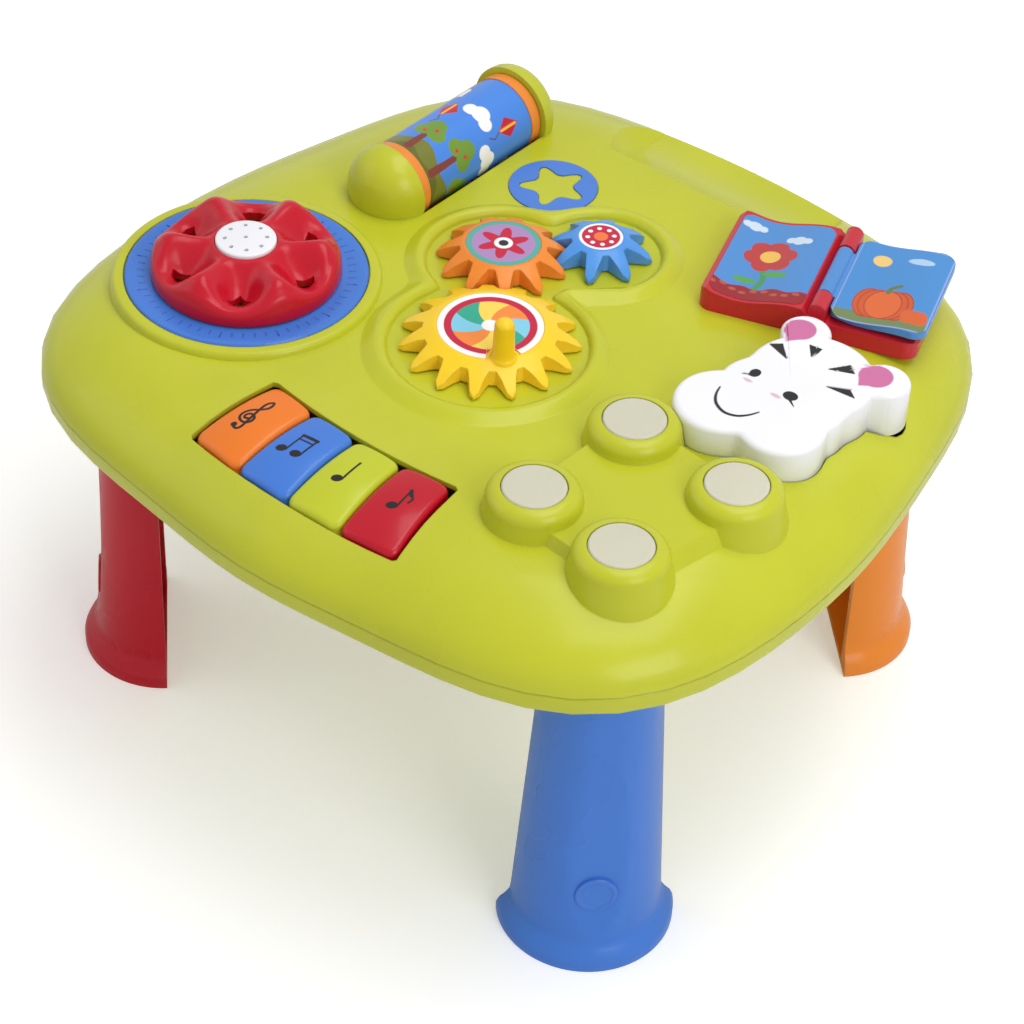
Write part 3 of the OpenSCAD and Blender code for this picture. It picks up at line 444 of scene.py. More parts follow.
def plate(name, outline, centre, top, low, edge, material, paint, rings, place=None, foot=None,
          flange=None):
    """A closed plate: outline seen from above, top(x, y) and low(x, y) heights, a round edge.

    paint(x, y) gives the colours of every ring, so the sides match the top's rim. foot is the
    radius and length of a peg below it, flange the width and thickness of a rim at its base."""
    outline, centre = np.array(outline, float), np.array(centre, float)
    along = np.roll(outline, -1, 0) - np.roll(outline, 1, 0)
    out = np.c_[along[:, 1], -along[:, 0]] / np.linalg.norm(along, axis=1)[:, None]
    inner = outline - out * edge
    stack = []
    if foot:
        peg_r, peg_l = foot
        ray = (outline - centre) / np.linalg.norm(outline - centre, axis=1)[:, None]
        for radius, drop in ((0.3, peg_l), (peg_r, peg_l), (peg_r, 0)):
            ring = centre + ray * radius
            stack.append(np.c_[ring, low(*ring.T) - drop])
    else:
        for share in np.linspace(0.04, 0.96, 16):
            ring = centre + (outline - centre) * share
            stack.append(np.c_[ring, low(*ring.T)])
    wide, thick = flange or (-FOOT_EDGE, FOOT_EDGE)
    base = outline + out * wide
    stack.append(np.c_[base, low(*base.T)])
    if flange:
        stack.append(np.c_[base, low(*base.T) + thick])
    stack.append(np.c_[outline, low(*outline.T) + thick])
    for angle in np.radians(np.linspace(0, 90, 7)):
        ring = outline - out * edge * (1 - math.cos(angle))
        stack.append(np.c_[ring, top(*ring.T) - edge * (1 - math.sin(angle))])
    for share in np.linspace(1, 0, rings + 1)[1:-1]:
        ring = centre + (inner - centre) * share
        stack.append(np.c_[ring, top(*ring.T)])
    points = np.concatenate(stack)
    colours = paint(points[:, 0], points[:, 1])
    if place:
        stack = [place(ring) for ring in stack]
    return ring_mesh(name, stack, material, colours)


print("drawing tools ready")

# %% [markdown]
# ## Piano keys
# Each key is crowned and falls towards the child. A black note sign is printed on it: a clef,
# two beamed notes, a long note and a short one. The keys fan out about a point behind them.

# %% Make the keys
FAN_RADIUS, FAN_STEP, KEY_AT = 420.0, 4.28, (4.0, -161.0)
KEY_LENGTH, KEY_TOP, KEY_LOW = 52.0, 242.2, 223.8
KEY_GAP, KEY_EDGE, KEY_PEG, KEY_FLANGE = 0.4, 2.6, (4, 2.4), (2.0, 2.0)
CROSS_CROWN, LONG_CROWN, CROWN_AT = 150, 205, 12
SIGN_INK = (24, 20, 22)


def key_outline(corner=5.0):
    points = []
    for sx, sy, start in ((1, 1, 0), (-1, 1, 90), (-1, -1, 180), (1, -1, 270)):
        half = math.tan(math.radians(FAN_STEP / 2)) * (FAN_RADIUS - sy * KEY_LENGTH / 2) - KEY_GAP
        for step in range(15):
            a = math.radians(start + step * 90 / 14)
            points.append((sx * (half - corner) + corner * math.cos(a),
                           sy * (KEY_LENGTH / 2 - corner) + corner * math.sin(a)))
    return dense(points, 0.7)


def dense(points, step):
    """The same closed line with points no further apart than step."""
    out = []
    for (ax, ay), (bx, by) in zip(points, points[1:] + points[:1]):
        parts = max(1, math.ceil(math.hypot(bx - ax, by - ay) / step))
        out += [(ax + (bx - ax) * k / parts, ay + (by - ay) * k / parts) for k in range(parts)]
    return out


def key_top(x, y):
    return KEY_TOP - x * x / CROSS_CROWN - (y - CROWN_AT) ** 2 / LONG_CROWN


def key_place(index):
    turn = math.radians((index - 1.5) * FAN_STEP)
    c, s = math.cos(turn), math.sin(turn)

    def place(ring):
        x, y = ring[:, 0], ring[:, 1] - FAN_RADIUS
        return np.c_[KEY_AT[0] + c * x - s * y, KEY_AT[1] + FAN_RADIUS + s * x + c * y, ring[:, 2]]
    return place


CLEF = smooth_line([(0.6, -3.6), (-1.3, -4.4), (-2.3, -2.9), (-1.5, -0.9), (0.6, -0.3), (2.7, -1.5),
                    (3.2, -4.0), (1.7, -6.4), (-1.2, -7.0), (-3.9, -5.3), (-4.5, -2.1), (-2.9, 1.5),
                    (0.2, 4.6), (2.3, 8.0), (2.1, 11.2), (0.9, 12.8), (-0.5, 11.0), (-0.8, 8.0),
                    (0.3, 2.0), (1.8, -6.0), (2.1, -10.0), (0.9, -12.0), (-0.9, -11.9)], 3)


def note_head(x, y, cx, cy):
    lean = 0.45
    return disc((x - cx) * math.cos(lean) + (y - cy) * math.sin(lean),
                (y - cy) * math.cos(lean) - (x - cx) * math.sin(lean), 0, 0, 3.0, 2.3)


def signs(index, x, y):
    """Distance to the sign on a key, 0 the clef to 3 the short note."""
    if index == 0:
        x, y = x + 3.2, y - 1.6
        return np.minimum(stroke(x, y, CLEF, 1.5), disc(x, y, -1.9, -10.8, 1.7))
    if index == 1:
        x, y = x + 2.6, y - 2.0
        parts = [note_head(x, y, -4.4, -6.4), note_head(x, y, 4.0, -5.2),
                 stroke(x, y, [(-1.8, -6), (-1.8, 7.2)], 1.1),
                 stroke(x, y, [(6.5, -5), (6.5, 8.4)], 1.1),
                 stroke(x, y, [(-1.8, 6.6), (6.5, 7.8)], 2.1),
                 stroke(x, y, [(-1.8, 3.4), (6.5, 4.6)], 1.1)]
    elif index == 2:
        x, y = x + 1.2, y - 3.0
        parts = [note_head(x, y, -1.6, -6.0), stroke(x, y, [(0.9, -5.4), (0.9, 8.8)], 1.2)]
    else:
        x, y = x - 0.3, y - 3.6
        parts = [note_head(x, y, -1.6, -6.0), stroke(x, y, [(0.9, -5.4), (0.9, 7.4)], 1.2),
                 stroke(x, y, smooth_line([(0.9, 7.2), (2.4, 4.6), (4.6, 2.8), (4.2, -0.6)], 4),
                        [2.2] * 6 + [1.2] * 7)]
    return np.minimum.reduce(parts)


def make_key(index, node, colour):
    def paint(x, y):
        ink = blank(x, colour)
        cover(ink, SIGN_INK, signs(index, x, y))
        return ink

    piece = plate(node + "_look", key_outline(), (0, 0), key_top, flat(KEY_LOW), KEY_EDGE,
                  PRINTED_MOULDING, paint, rings=64, place=key_place(index), foot=KEY_PEG,
                  flange=KEY_FLANGE)
    return settle(piece, node)


KEY_COLOURS = {"key_orange": (238, 124, 36), "key_blue": BLUE, "key_lime": (192, 200, 44),
               "key_red": (190, 8, 34)}
keys = [make_key(k, node, colour) for k, (node, colour) in enumerate(KEY_COLOURS.items())]
print("keys:", len(keys), "each with", len(keys[0].data.vertices), "points")

# %% [markdown]
# ## The animal
# A smooth flat head with two round ears, outlined by circles that melt into one another. The
# face is plain: two eyes with a lash each, pale cheeks, a smile, four dark stripes and pink ears.

# %% Make the animal's head
LOBES = [(129, -4.5, 24.5), (162.5, -0.5, 22), (150, 42, 33), (134, 20, 20), (160, 20, 22),
         (127, 70, 13), (180, 63.5, 13.5)]
HEAD_AT = (146.0, 30.0)
HEAD_TOP, HEAD_LOW, HEAD_EDGE, HEAD_PEG = 256.5, 230.0, 3.4, (7, 1.0)


def lobed(angles, grow=0.0, soft=16):
    total = np.zeros(len(angles))
    for cx, cy, r in LOBES:
        dx, dy, r = cx - HEAD_AT[0], cy - HEAD_AT[1], r + grow
        b = dx * np.cos(angles) + dy * np.sin(angles)
        q = b * b - (dx * dx + dy * dy - r * r)
        total += np.where(q < 0, 1, np.maximum(b + np.sqrt(np.maximum(q, 0)), 1)) ** soft
    return total ** (1 / soft)


turn = np.linspace(0, 2 * np.pi, 420, endpoint=False)
reach = lobed(turn)
head_line = dense([(HEAD_AT[0] + r * math.cos(a), HEAD_AT[1] + r * math.sin(a))
                   for r, a in zip(reach, turn)], 0.7)


EARS = [(125.0, 67.5, 8.2, 8.6, (125.4, 55.0)), (175.5, 62.0, 8.8, 9.0, (173.0, 50.0))]
STRIPES = [[(136.2, 60.4), (143.0, 52.2), (142.6, 61.6)],
           [(120.6, 47.2), (133.6, 43.4), (125.2, 51.6)],
           [(154.6, 50.8), (166.2, 56.4), (161.0, 60.6)],
           [(162.0, 38.6), (177.2, 40.4), (171.4, 44.6)]]
EYES = [(129.0, 23.2, 2.8, 3.5), (152.9, 20.2, 4.0, 3.5)]
LASHES = [([(153, 18.4), (159.0, 14.4)], [2.0, 0.5]), ([(129, 20.6), (123.6, 18.6)], [1.6, 0.4])]
CHEEKS = [(129.6, 16.0, 2.6, 1.1), (147.2, 15.4, 3.0, 1.3)]
SMILE = smooth_line([(122.6, 2.4), (124.6, -3.6), (128.8, -9.2), (135.6, -12.2), (142.0, -10.6),
                     (146.4, -5.8), (148.8, -0.6)], 5)
SMILE_WIDTHS = [0.9 + 1.0 * math.sin(math.pi * k / (len(SMILE) - 1)) for k in range(len(SMILE))]
COAT, EAR_PINK, STRIPE_INK, FACE_INK, CHEEK_PINK = ((243, 243, 248), (205, 112, 160), (26, 24, 26),
                                                    (24, 22, 24), (224, 186, 200))


def face(x, y):
    ink = blank(x, COAT)
    for cx, cy, rx, ry, tip in EARS:
        side = rx * 0.86
        point = polygon(x, y, [(cx - side, cy - 4), tip, (cx + side, cy - 4)])
        cover(ink, EAR_PINK, np.minimum(disc(x, y, cx, cy, rx, ry), point), 0.5)
    for stripe in STRIPES:
        cover(ink, STRIPE_INK, polygon(x, y, stripe, 0.4))
    for eye_at in EYES:
        cover(ink, FACE_INK, disc(x, y, *eye_at))
    for line, widths in LASHES:
        cover(ink, FACE_INK, stroke(x, y, line, widths))
    for cheek in CHEEKS:
        cover(ink, CHEEK_PINK, disc(x, y, *cheek), 0.8)
    cover(ink, FACE_INK, stroke(x, y, SMILE, SMILE_WIDTHS))
    return ink


head = plate("animal_head_look", head_line, HEAD_AT, flat(HEAD_TOP), flat(HEAD_LOW), HEAD_EDGE,
             PRINTED_MOULDING, face, rings=150, foot=HEAD_PEG)
settle(head, "animal_head")
print("head:", len(head.data.vertices), "points")

# %% [markdown]
# ## Steering wheel
# Six rounded arms rise from a scooped rim to the hub. The height is one formula of radius and
# angle, laid on fine rings of points. At the foot of each scoop an opening goes right through,
# cut by a Boolean. A thin lime ring under the wheel stands for the pedestal seen through them.

# %% Make the wheel
WHEEL_AT, WHEEL_Z, ARM_PHASE, ARMS = (-128.0, -75.5), 244.4, 38.0, 6
ROWS = np.array([(50, 9.4, 12.6), (46.6, 9.1, 15.6), (43.2, 8.8, 19.6), (39.5, 6.6, 21),
                 (35, 5.4, 20.8), (29, 8.4, 19.8), (23, 13.4, 19.2), (18, 19.2, 19.2)])[::-1]
AROUND = 420
angle = np.linspace(0, 2 * np.pi, AROUND, endpoint=False)
arm = (0.5 + 0.5 * np.cos(ARMS * (angle - math.radians(ARM_PHASE)))) ** 1.15


def row_height(radius, column):
    """The height at a radius, 1 in a scoop and 2 along an arm, blurred so that rows flow."""
    fine = np.linspace(16, 50, 400)
    raw = np.interp(fine, ROWS[:, 0], ROWS[:, column])
    wide = np.exp(-0.5 * (np.arange(-40, 41) / 13.0) ** 2)
    padded = np.pad(raw, 40, mode="edge")
    return np.interp(radius, fine, np.convolve(padded, wide / wide.sum(), "valid"))


def wheel_ring(radius, height):
    height = np.broadcast_to(height, (AROUND,))
    return np.c_[WHEEL_AT[0] + radius * np.cos(angle), WHEEL_AT[1] + radius * np.sin(angle),
                 WHEEL_Z + height]


UNDERSIDE = ((1, 12), (9.1, 12), (9.1, 0), (12.5, 0), (12.5, 2.6), (43, 2.6), (43, 0), (49, 0),
             (49.7, 0.5), (50, 1.2), (50, 3.0))
HUB_SEAT = ((16.6, 19.2), (16.3, 18.9), (16.3, 17.2), (14, 17.2), (14, 14.8), (7.5, 14.8), (1, 14.8))
stack = [wheel_ring(r, z) for r, z in UNDERSIDE]
for radius in np.r_[50 - 0.9 * (1 - np.cos(np.radians([30, 60, 80]))), np.linspace(49.0, 18.0, 74)]:
    z = row_height(radius, 1) + (row_height(radius, 2) - row_height(radius, 1)) * arm
    side = np.maximum(0, radius - 47.0) / 3.0
    z = 4 + (z - 4) * np.sqrt(np.maximum(0, 1 - side ** 2))
    stack.append(wheel_ring(radius, z))
stack += [wheel_ring(r, z) for r, z in HUB_SEAT]
solid_wheel = ring_mesh("solid_wheel", stack, PLASTIC["red_plastic"])
print("wheel:", len(solid_wheel.data.vertices), "points")

# %% Cut its openings
OPENING = [(31.5, 0), (38.5, -6.2), (41, -3), (41, 3), (38.5, 6.2)]
CUT_FROM, CUT_TO = WHEEL_Z + 1, WHEEL_Z + 30


def prism(outline, turn, low, high):
    """Points and faces of an upright prism about the wheel's axis."""
    c, s, n = math.cos(turn), math.sin(turn), len(outline)
    points = [((WHEEL_AT[0] + c * x - s * y) / 1000, (WHEEL_AT[1] + s * x + c * y) / 1000, z / 1000)
              for z in (low, high) for x, y in outline]
    sides = [(i, (i + 1) % n, n + (i + 1) % n, n + i) for i in range(n)]
    return points, [tuple(range(n))[::-1], tuple(range(n, 2 * n))] + sides


points, faces = [], []
for k in range(ARMS):
    more, sides = prism(OPENING[::-1], math.radians(ARM_PHASE + (k + 0.5) * 360 / ARMS), CUT_FROM, CUT_TO)
    faces += [tuple(len(points) + i for i in side) for side in sides]
    points += more
cutter_mesh = bpy.data.meshes.new("openings")
cutter_mesh.from_pydata(points, [], faces)
work = bmesh.new()
work.from_mesh(cutter_mesh)
bmesh.ops.recalc_face_normals(work, faces=work.faces)
work.to_mesh(cutter_mesh)
work.free()
cutter = bpy.data.objects.new("openings", cutter_mesh)
bpy.context.collection.objects.link(cutter)
cut = solid_wheel.modifiers.new("openings", "BOOLEAN")
cut.operation, cut.object, cut.solver = "DIFFERENCE", cutter, "EXACT"
bpy.context.view_layer.update()
open_wheel = bpy.data.meshes.new_from_object(
    solid_wheel.evaluated_get(bpy.context.evaluated_depsgraph_get()))
for spent in (solid_wheel, cutter):
    bpy.data.objects.remove(spent)
open_wheel.name = "wheel_look"
open_wheel.materials.clear()
open_wheel.materials.append(PLASTIC["red_plastic"])
for facet in open_wheel.polygons:
    facet.material_index = 0
wheel = bpy.data.objects.new("wheel_look", open_wheel)
bpy.context.collection.objects.link(wheel)
settle(wheel, "wheel")
print("wheel faces:", len(open_wheel.polygons))

# %% Lay the lime ring under it
RING_STEPS = 120
RING_INSIDE, RING_OUTSIDE, RING_LOW, RING_TOP = 12, 48, 244.0, 244.3
bearing = np.linspace(0, 2 * np.pi, RING_STEPS, endpoint=False)
stack = [np.c_[WHEEL_AT[0] + r * np.cos(bearing), WHEEL_AT[1] + r * np.sin(bearing),
               np.full(RING_STEPS, z)]
         for r, z in ((RING_INSIDE, RING_LOW), (RING_OUTSIDE, RING_LOW), (RING_OUTSIDE, RING_TOP),
                      (RING_INSIDE, RING_TOP))]
under = ring_mesh("pedestal_ring", stack, PLASTIC["lime_plastic"], caps=False)
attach(under, body_of["dial_ring"])
print("under the wheel:", under.name)

# %% [markdown]
# ## Gear labels
# Three printed discs lie in the crowns of the gears. The yellow gear's disc gives way to the
# crank peg. The patterns are a plain pinwheel, a flower and dots in the toy's own colours.

# %% Make the gear labels
TEETH = {"big": 15, "middle": 11, "small": 8}
BIG_TO_MIDDLE = 71.8
PER_TOOTH = BIG_TO_MIDDLE / (TEETH["big"] + TEETH["middle"])


def beyond(at, distance, bearing):
    turn = math.radians(bearing)
    return (at[0] + distance * math.cos(turn), at[1] + distance * math.sin(turn))


BIG = (3.1, -32.9)
MIDDLE = beyond(BIG, BIG_TO_MIDDLE, 124.8)
SMALL = beyond(MIDDLE, PER_TOOTH * (TEETH["middle"] + TEETH["small"]), 49.2)
LABEL_TOP, LABEL_LOW = 252.5, 251.92
WHITE, CRIMSON, TEAL, INK = (246, 246, 246), (196, 20, 62), (84, 172, 158), (30, 26, 30)
MAUVE, TANGERINE = (176, 136, 188), (240, 120, 62)
VANES = ((46, 168, 140), (130, 206, 232), (244, 140, 60), (250, 214, 90)) * 2


def pinwheel_label(x, y):
    """Eight curved vanes in a red ring with a white rim."""
    ink = blank(x, WHITE)
    cover(ink, CRIMSON, disc(x, y, 0, 0, 24.0))
    r, a = np.hypot(x, y), np.arctan2(y, x)
    for k, colour in enumerate(VANES):
        swing = (a - math.pi / 4 * k + r * 0.03) % (2 * math.pi)
        side = np.minimum(swing, math.pi / 4 - swing) * np.maximum(r, 0.1)
        cover(ink, colour, np.maximum(-side, r - 20.0))
    cover(ink, WHITE, disc(x, y, 0, 0, 4.6))
    return ink


def flower_label(x, y):
    """A six-petalled flower on mauve in a teal ring."""
    ink = blank(x, TEAL)
    cover(ink, MAUVE, disc(x, y, 0, 0, 16.8))
    r, a = np.hypot(x, y), np.arctan2(y, x)
    cover(ink, CRIMSON, (r - 10.4 - 3.6 * np.cos(6 * a)) * 0.6)
    cover(ink, WHITE, disc(x, y, 0, 0, 5.0))
    cover(ink, INK, disc(x, y, 0, 0, 2.6))
    return ink


def dots_label(x, y):
    """A ring of dots round an orange middle."""
    ink = blank(x, WHITE)
    cover(ink, CRIMSON, disc(x, y, 0, 0, 10.2))
    cover(ink, TANGERINE, disc(x, y, 0, 0, 3.8))
    for k in range(8):
        a = math.pi / 4 * k
        cover(ink, WHITE, disc(x, y, 7.1 * math.cos(a), 7.1 * math.sin(a), 1.3))
    return ink


def label(node, at, radius, paint, peg=None):
    """A printed disc; peg is the place and radius of a round bite out of its rim."""
    around = np.linspace(0, 2 * np.pi, 300, endpoint=False)
    reach = np.full(len(around), radius - 0.1)
    if peg:
        b = peg[0] * np.cos(around) + peg[1] * np.sin(around)
        q = b * b - (peg[0] ** 2 + peg[1] ** 2 - peg[2] ** 2)
        reach = np.where((q > 0) & (b > 0), np.minimum(reach, b - np.sqrt(np.maximum(q, 0))), reach)
    line = np.c_[reach * np.cos(around), reach * np.sin(around)]
    piece = plate(node + "_look", line, (0, 0), flat(LABEL_TOP), flat(LABEL_LOW), 0.12, PRINTED,
                  paint, rings=70, place=lambda ring: ring + np.array([at[0], at[1], 0]))
    return settle(piece, node)


CRANK_OFFSET, CRANK_BEARING, CRANK_RADIUS = 26, -35.5, 8.5
crank = (*beyond((0, 0), CRANK_OFFSET, CRANK_BEARING), CRANK_RADIUS)
labels = [label("gear_label_yellow", BIG, 27.5, pinwheel_label, crank),
          label("gear_label_orange", MIDDLE, 20, flower_label),
          label("gear_label_blue", SMALL, 12, dots_label)]
print("labels:", len(labels))

# %% [markdown]
# ## Drum
# The roller's film is printed with hills, trees, clouds and kites. The picture is repeated
# twice round it, so that every side shows one as it turns.

# %% Make the printed drum
DRUM_AT, DRUM_R, FILM_INSIDE = (-121.7, 247.0), 22.1, 19.9
DRUM_FROM, DRUM_TO = 38.2, 124.2
SKY, HILL, NEAR_HILL = (74, 136, 226), (118, 122, 44), (98, 104, 36)
TRUNK, LEAVES, FRUIT, CLOUD = (126, 58, 44), (112, 150, 52), (202, 60, 52), (248, 246, 246)
KITE, KITE_STRIPE, KITE_TAIL = (194, 24, 48), (250, 190, 60), (104, 48, 52)
TREES = ((2, 60), (23, 66), (44, 58))
CLOUDS = ((10, 92), (36, 84), (54, 104))
KITES = ((24, 106), (-5, 84), (50, 76))


def drum_print(u, v):
    """The film: u is the way round in mm from the top, v the way along."""
    half = math.pi * DRUM_R
    u = (u + 10) % half - 10
    ink = blank(u, SKY)
    cover(ink, HILL, v - 50 - 2.2 * np.sin(u / 5.2))
    cover(ink, NEAR_HILL, v - 42 - 1.8 * np.sin(u / 4.1 + 1))
    for cu, tall in TREES:
        cover(ink, TRUNK, stroke(u, v, [(cu, 42), (cu, tall)], [5.0, 3.2]))
        for du, dv, r in ((-4.5, 0, 5.4), (4.5, 0.5, 5.4), (0, 5.5, 6.2)):
            cover(ink, LEAVES, disc(u, v, cu + du, tall + dv, r))
        cover(ink, FRUIT, disc(u, v, cu + 2.5, tall + 3, 1.3))
        cover(ink, FRUIT, disc(u, v, cu - 3.0, tall - 1, 1.3))
    for cu, cv in CLOUDS:
        for du, dv, r in ((-6, 0, 4.4), (0, 2.0, 5.6), (6, 0, 4.4)):
            cover(ink, CLOUD, disc(u, v, cu + du, cv + dv, r))
    for cu, cv in KITES:
        kite = (np.abs(u - cu) / 6.0 + np.abs(v - cv) / 8.0 - 1) * 4.8
        cover(ink, KITE, kite)
        cover(ink, KITE_STRIPE, np.maximum(kite + 0.6, np.abs(u - cu) - 0.8))
        tail = [(cu, cv - 8), (cu + 2.4, cv - 12), (cu, cv - 16)]
        cover(ink, KITE_TAIL, stroke(u, v, tail, 0.7))
    return ink


film_turn = np.linspace(0, 2 * np.pi, 300, endpoint=False)


def drum_ring(radius, v):
    return np.c_[DRUM_AT[0] + radius * np.sin(film_turn), np.full(len(film_turn), v),
                 DRUM_AT[1] + radius * np.cos(film_turn)]


stack = [drum_ring(DRUM_R, v) for v in np.linspace(DRUM_FROM, DRUM_TO, 200)]
stack += [drum_ring(FILM_INSIDE, v) for v in (DRUM_TO, DRUM_FROM)]
round_way = np.tile(film_turn * DRUM_R, len(stack))
colours = drum_print(round_way, np.concatenate([ring[:, 1] for ring in stack]))
film = ring_mesh("drum_film", stack, PRINTED, colours, caps=False)
settle(film, "drum_barrel")
print("drum:", len(film.data.vertices), "points")

# %% [markdown]
# ## Book
# Two printed sheets lie on the red page and on the blue page that turns. Each follows its page's
# wave. One shows a red flower over pebbly red ground, the other a pumpkin on the grass.

# %% Print the pages
BOOK_AT, BOOK_TURN = (62.0, 64.0), math.radians(19.5)
LEFT_ABOVE, LEAF_ABOVE, SHEET_BELOW, SHEET_EDGE = 0.22, 0.2, 0.5, 0.1


def in_book(ring):
    c, s = math.cos(BOOK_TURN), math.sin(BOOK_TURN)
    u, v = ring[:, 0], ring[:, 1]
    return np.c_[BOOK_AT[0] + c * u - s * v, BOOK_AT[1] + s * u + c * v, ring[:, 2]]


def left_wave(u, v):
    """The top of the red page; v, the way along the spine, changes nothing."""
    return 253.2 + 2.6 * np.sin(np.radians(u * 360 / 62 + 150))


def leaf_top(u, v):
    """The top of the page that turns."""
    s = (u - 64) / 57
    return 255.2 - 2.2 * np.sin(np.radians(s * 300)) - 2.2 * s * s + 2.1


GARDEN = {"sky": (80, 140, 206), "cloud": (206, 222, 236), "stalk": (70, 148, 88),
          "leaf": (86, 160, 84), "petal": (186, 60, 60), "middle": (236, 190, 90),
          "ground": (150, 30, 40), "pebble": (186, 84, 60)}
FIELD = {"sky": (72, 140, 206), "grass": (112, 132, 84), "pumpkin": (206, 88, 40),
         "front rib": (222, 104, 48), "groove": (170, 62, 34), "stalk": (96, 120, 60),
         "small pumpkin": (214, 98, 46), "sun": (238, 200, 120), "cloud": (176, 204, 232),
         "border": (150, 170, 224)}
FLOWER_AT, PETALS = (27, 43), 6
PUMPKIN_RIBS = ((86, 7.5), (102, 7.5), (90, 8.8), (98, 8.8), (94, 9.4))


def left_picture(u, v):
    ink = blank(u, GARDEN["sky"])
    for cu, cv in ((12, 66), (38, 60)):
        for du, r in ((-4.4, 2.6), (0, 3.8), (4.4, 2.6)):
            cover(ink, GARDEN["cloud"], disc(u, v, cu + du, cv, r))
    stalk = smooth_line([(27, 12), (29, 22), (26, 32), (27, 40)])
    cover(ink, GARDEN["stalk"], stroke(u, v, stalk, 3.2))
    for side in (-1, 1):
        cover(ink, GARDEN["leaf"], disc(u, v, 27 + side * 7, 23 + 4 * side, 6.5, 2.6))
    cu, cv = FLOWER_AT
    for k in range(PETALS):
        a = math.radians(360 / PETALS * k + 15)
        cover(ink, GARDEN["petal"], disc(u, v, cu + 8.2 * math.cos(a), cv + 8.2 * math.sin(a), 6.0))
    cover(ink, GARDEN["middle"], disc(u, v, cu, cv, 5.4))
    cover(ink, GARDEN["ground"], v - 12.6 - 1.1 * np.sin(u / 2.6))
    for k in range(9):
        cover(ink, GARDEN["pebble"], disc(u, v, 5 + 5.6 * k, 9.4 + 1.6 * math.sin(k * 1.7), 2.0, 1.3))
    return ink


def leaf_picture(u, v):
    ink = blank(u, FIELD["sky"])
    cover(ink, FIELD["grass"], v - 9.5 - 1.3 * np.sin(u / 6.0))
    for cu, r in PUMPKIN_RIBS:
        rib = disc(u, v, cu, 20, r, 12.5)
        cover(ink, FIELD["pumpkin"] if r < 9 else FIELD["front rib"], rib)
        cover(ink, FIELD["groove"], np.abs(rib) - 0.3)
    cover(ink, FIELD["stalk"], stroke(u, v, smooth_line([(94, 31), (95, 35), (99, 38)]), 2.6))
    for cu, r in ((112, 4.2), (115.5, 3.6), (108.5, 3.6)):
        cover(ink, FIELD["small pumpkin"], disc(u, v, cu, 13, r, 6.0))
    cover(ink, FIELD["sun"], disc(u, v, 84, 58, 5.0))
    cover(ink, FIELD["cloud"], disc(u, v, 104, 62, 7.0, 2.8))
    rim = np.minimum(np.minimum(u - 70.0, 120.6 - u), np.minimum(v - 1.0, 73.6 - v))
    cover(ink, FIELD["border"], rim - 1.0, 0.6)
    return ink


def page_line(u0, u1, v0, v1, corner):
    line = []
    for cu, cv, start in ((u1 - corner, v1 - corner, 0), (u0 + corner, v1 - corner, 90),
                          (u0 + corner, v0 + corner, 180), (u1 - corner, v0 + corner, 270)):
        for k in range(11):
            a = math.radians(start + k * 9)
            line.append((cu + corner * math.cos(a), cv + corner * math.sin(a)))
    return dense(line, 0.8)


left_sheet = plate("page_print_left", page_line(4.4, 55.2, 2.0, 75.0, 6), (29.8, 38.5),
                   lambda u, v: left_wave(u, v) + LEFT_ABOVE, lambda u, v: left_wave(u, v) - SHEET_BELOW,
                   SHEET_EDGE, PRINTED, left_picture, rings=90, place=in_book)
settle(left_sheet, "book_base", replace=False)
leaf_sheet = plate("page_print_right", page_line(70.4, 120.4, 1.2, 73.2, 6.5), (95, 37),
                   lambda u, v: leaf_top(u, v) + LEAF_ABOVE, lambda u, v: leaf_top(u, v) - SHEET_BELOW,
                   SHEET_EDGE, PRINTED, leaf_picture, rings=90, place=in_book)
settle(leaf_sheet, "book_leaf", replace=False)
print("pages:", left_sheet.name, leaf_sheet.name)

# %% [markdown]
# ## Dial ticks
# Sixty short ticks lie on the wheel's blue ring. Geometry Nodes makes them: one small bar is
# set on each point of a circle, turned to point at the centre, and joined into one mesh.

# %% Grow the ticks with Geometry Nodes
TICK_DEPTH, TICK_Z = 0.0003, 0.2442
ticks = bpy.data.node_groups.new("dial_ticks", "GeometryNodeTree")
ticks.interface.new_socket("Geometry", in_out="INPUT", socket_type="NodeSocketGeometry")
names = {}
for title, kind, value in (("Count", "NodeSocketInt", 60), ("Radius", "NodeSocketFloat", 0.0553),
                           ("Length", "NodeSocketFloat", 0.0034), ("Width", "NodeSocketFloat", 0.0006),
                           ("Paint", "NodeSocketMaterial", None)):
    socket = ticks.interface.new_socket(title, in_out="INPUT", socket_type=kind)
    names[title] = socket.identifier
    if value is not None:
        socket.default_value = value
ticks.interface.new_socket("Geometry", in_out="OUTPUT", socket_type="NodeSocketGeometry")
enter, leave = ticks.nodes.new("NodeGroupInput"), ticks.nodes.new("NodeGroupOutput")
circle = ticks.nodes.new("GeometryNodeMeshCircle")
where = ticks.nodes.new("GeometryNodeInputPosition")
parts = ticks.nodes.new("ShaderNodeSeparateXYZ")
toward = ticks.nodes.new("ShaderNodeMath")
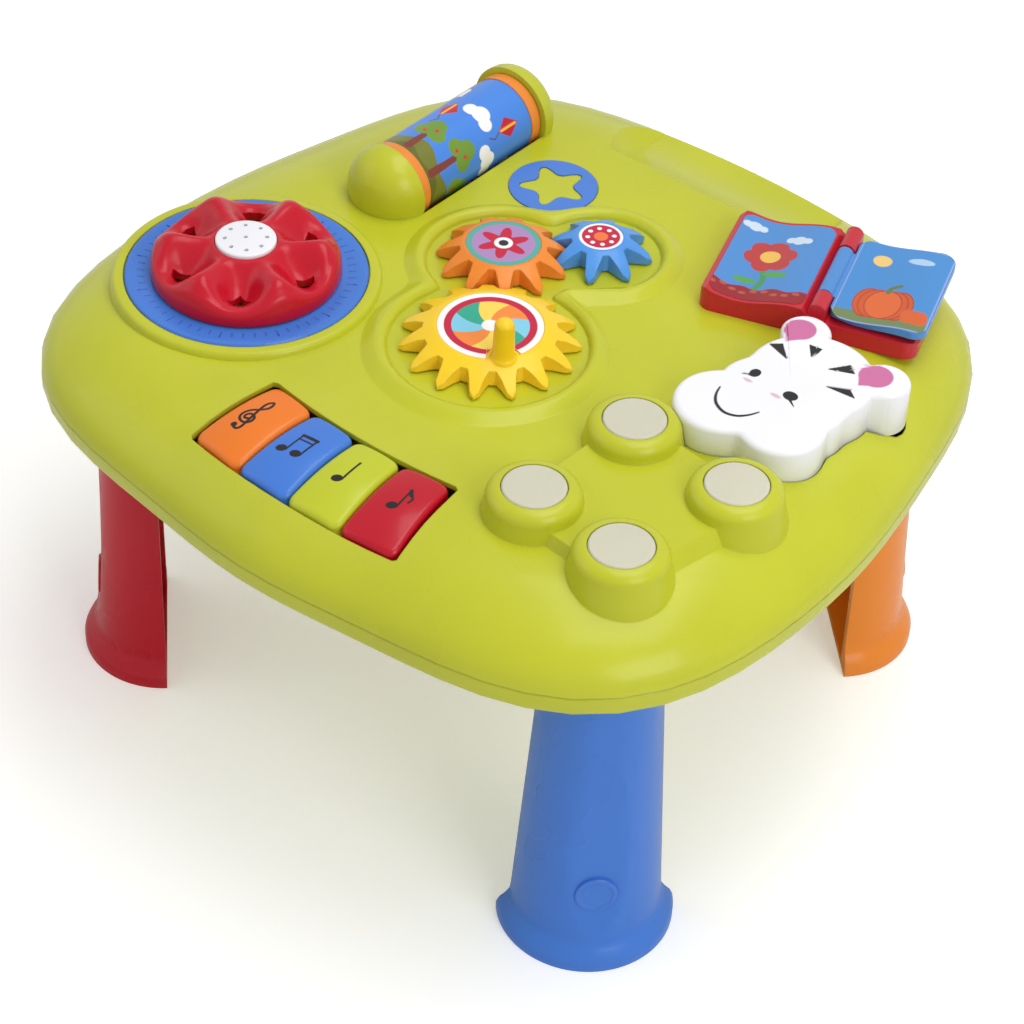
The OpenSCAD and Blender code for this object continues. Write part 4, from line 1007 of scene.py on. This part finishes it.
toward.operation = "ARCTAN2"
facing = ticks.nodes.new("ShaderNodeCombineXYZ")
bar = ticks.nodes.new("GeometryNodeMeshCube")
bar_size = ticks.nodes.new("ShaderNodeCombineXYZ")
bar_size.inputs["Z"].default_value = TICK_DEPTH
spread = ticks.nodes.new("GeometryNodeInstanceOnPoints")
real = ticks.nodes.new("GeometryNodeRealizeInstances")
dress = ticks.nodes.new("GeometryNodeSetMaterial")
join = ticks.links.new
join(enter.outputs["Count"], circle.inputs["Vertices"])
join(enter.outputs["Radius"], circle.inputs["Radius"])
join(where.outputs["Position"], parts.inputs["Vector"])
join(parts.outputs["Y"], toward.inputs[0])
join(parts.outputs["X"], toward.inputs[1])
join(toward.outputs[0], facing.inputs["Z"])
join(enter.outputs["Width"], bar_size.inputs["Y"])
join(enter.outputs["Length"], bar_size.inputs["X"])
join(bar_size.outputs["Vector"], bar.inputs["Size"])
join(circle.outputs["Mesh"], spread.inputs["Points"])
join(facing.outputs["Vector"], spread.inputs["Rotation"])
join(bar.outputs["Mesh"], spread.inputs["Instance"])
join(spread.outputs["Instances"], real.inputs["Geometry"])
join(real.outputs["Geometry"], dress.inputs["Geometry"])
join(enter.outputs["Paint"], dress.inputs["Material"])
join(dress.outputs["Geometry"], leave.inputs["Geometry"])

seed = bpy.data.objects.new("tick_seed", bpy.data.meshes.new("tick_seed"))
bpy.context.collection.objects.link(seed)
grow = seed.modifiers.new("ticks", "NODES")
grow.node_group = ticks
grow[names["Paint"]] = moulded("tick_print", (52, 104, 190), edge=0, rub=0)
bpy.context.view_layer.update()
made = bpy.data.meshes.new_from_object(seed.evaluated_get(bpy.context.evaluated_depsgraph_get()))
bpy.data.objects.remove(seed)
made.transform(Matrix.Translation((WHEEL_AT[0] / 1000, WHEEL_AT[1] / 1000, TICK_Z)))
tick_ring = bpy.data.objects.new("dial_ticks", made)
bpy.context.collection.objects.link(tick_ring)
settle(tick_ring, "dial_ring", replace=False)
print("ticks:", len(made.polygons) // 6)
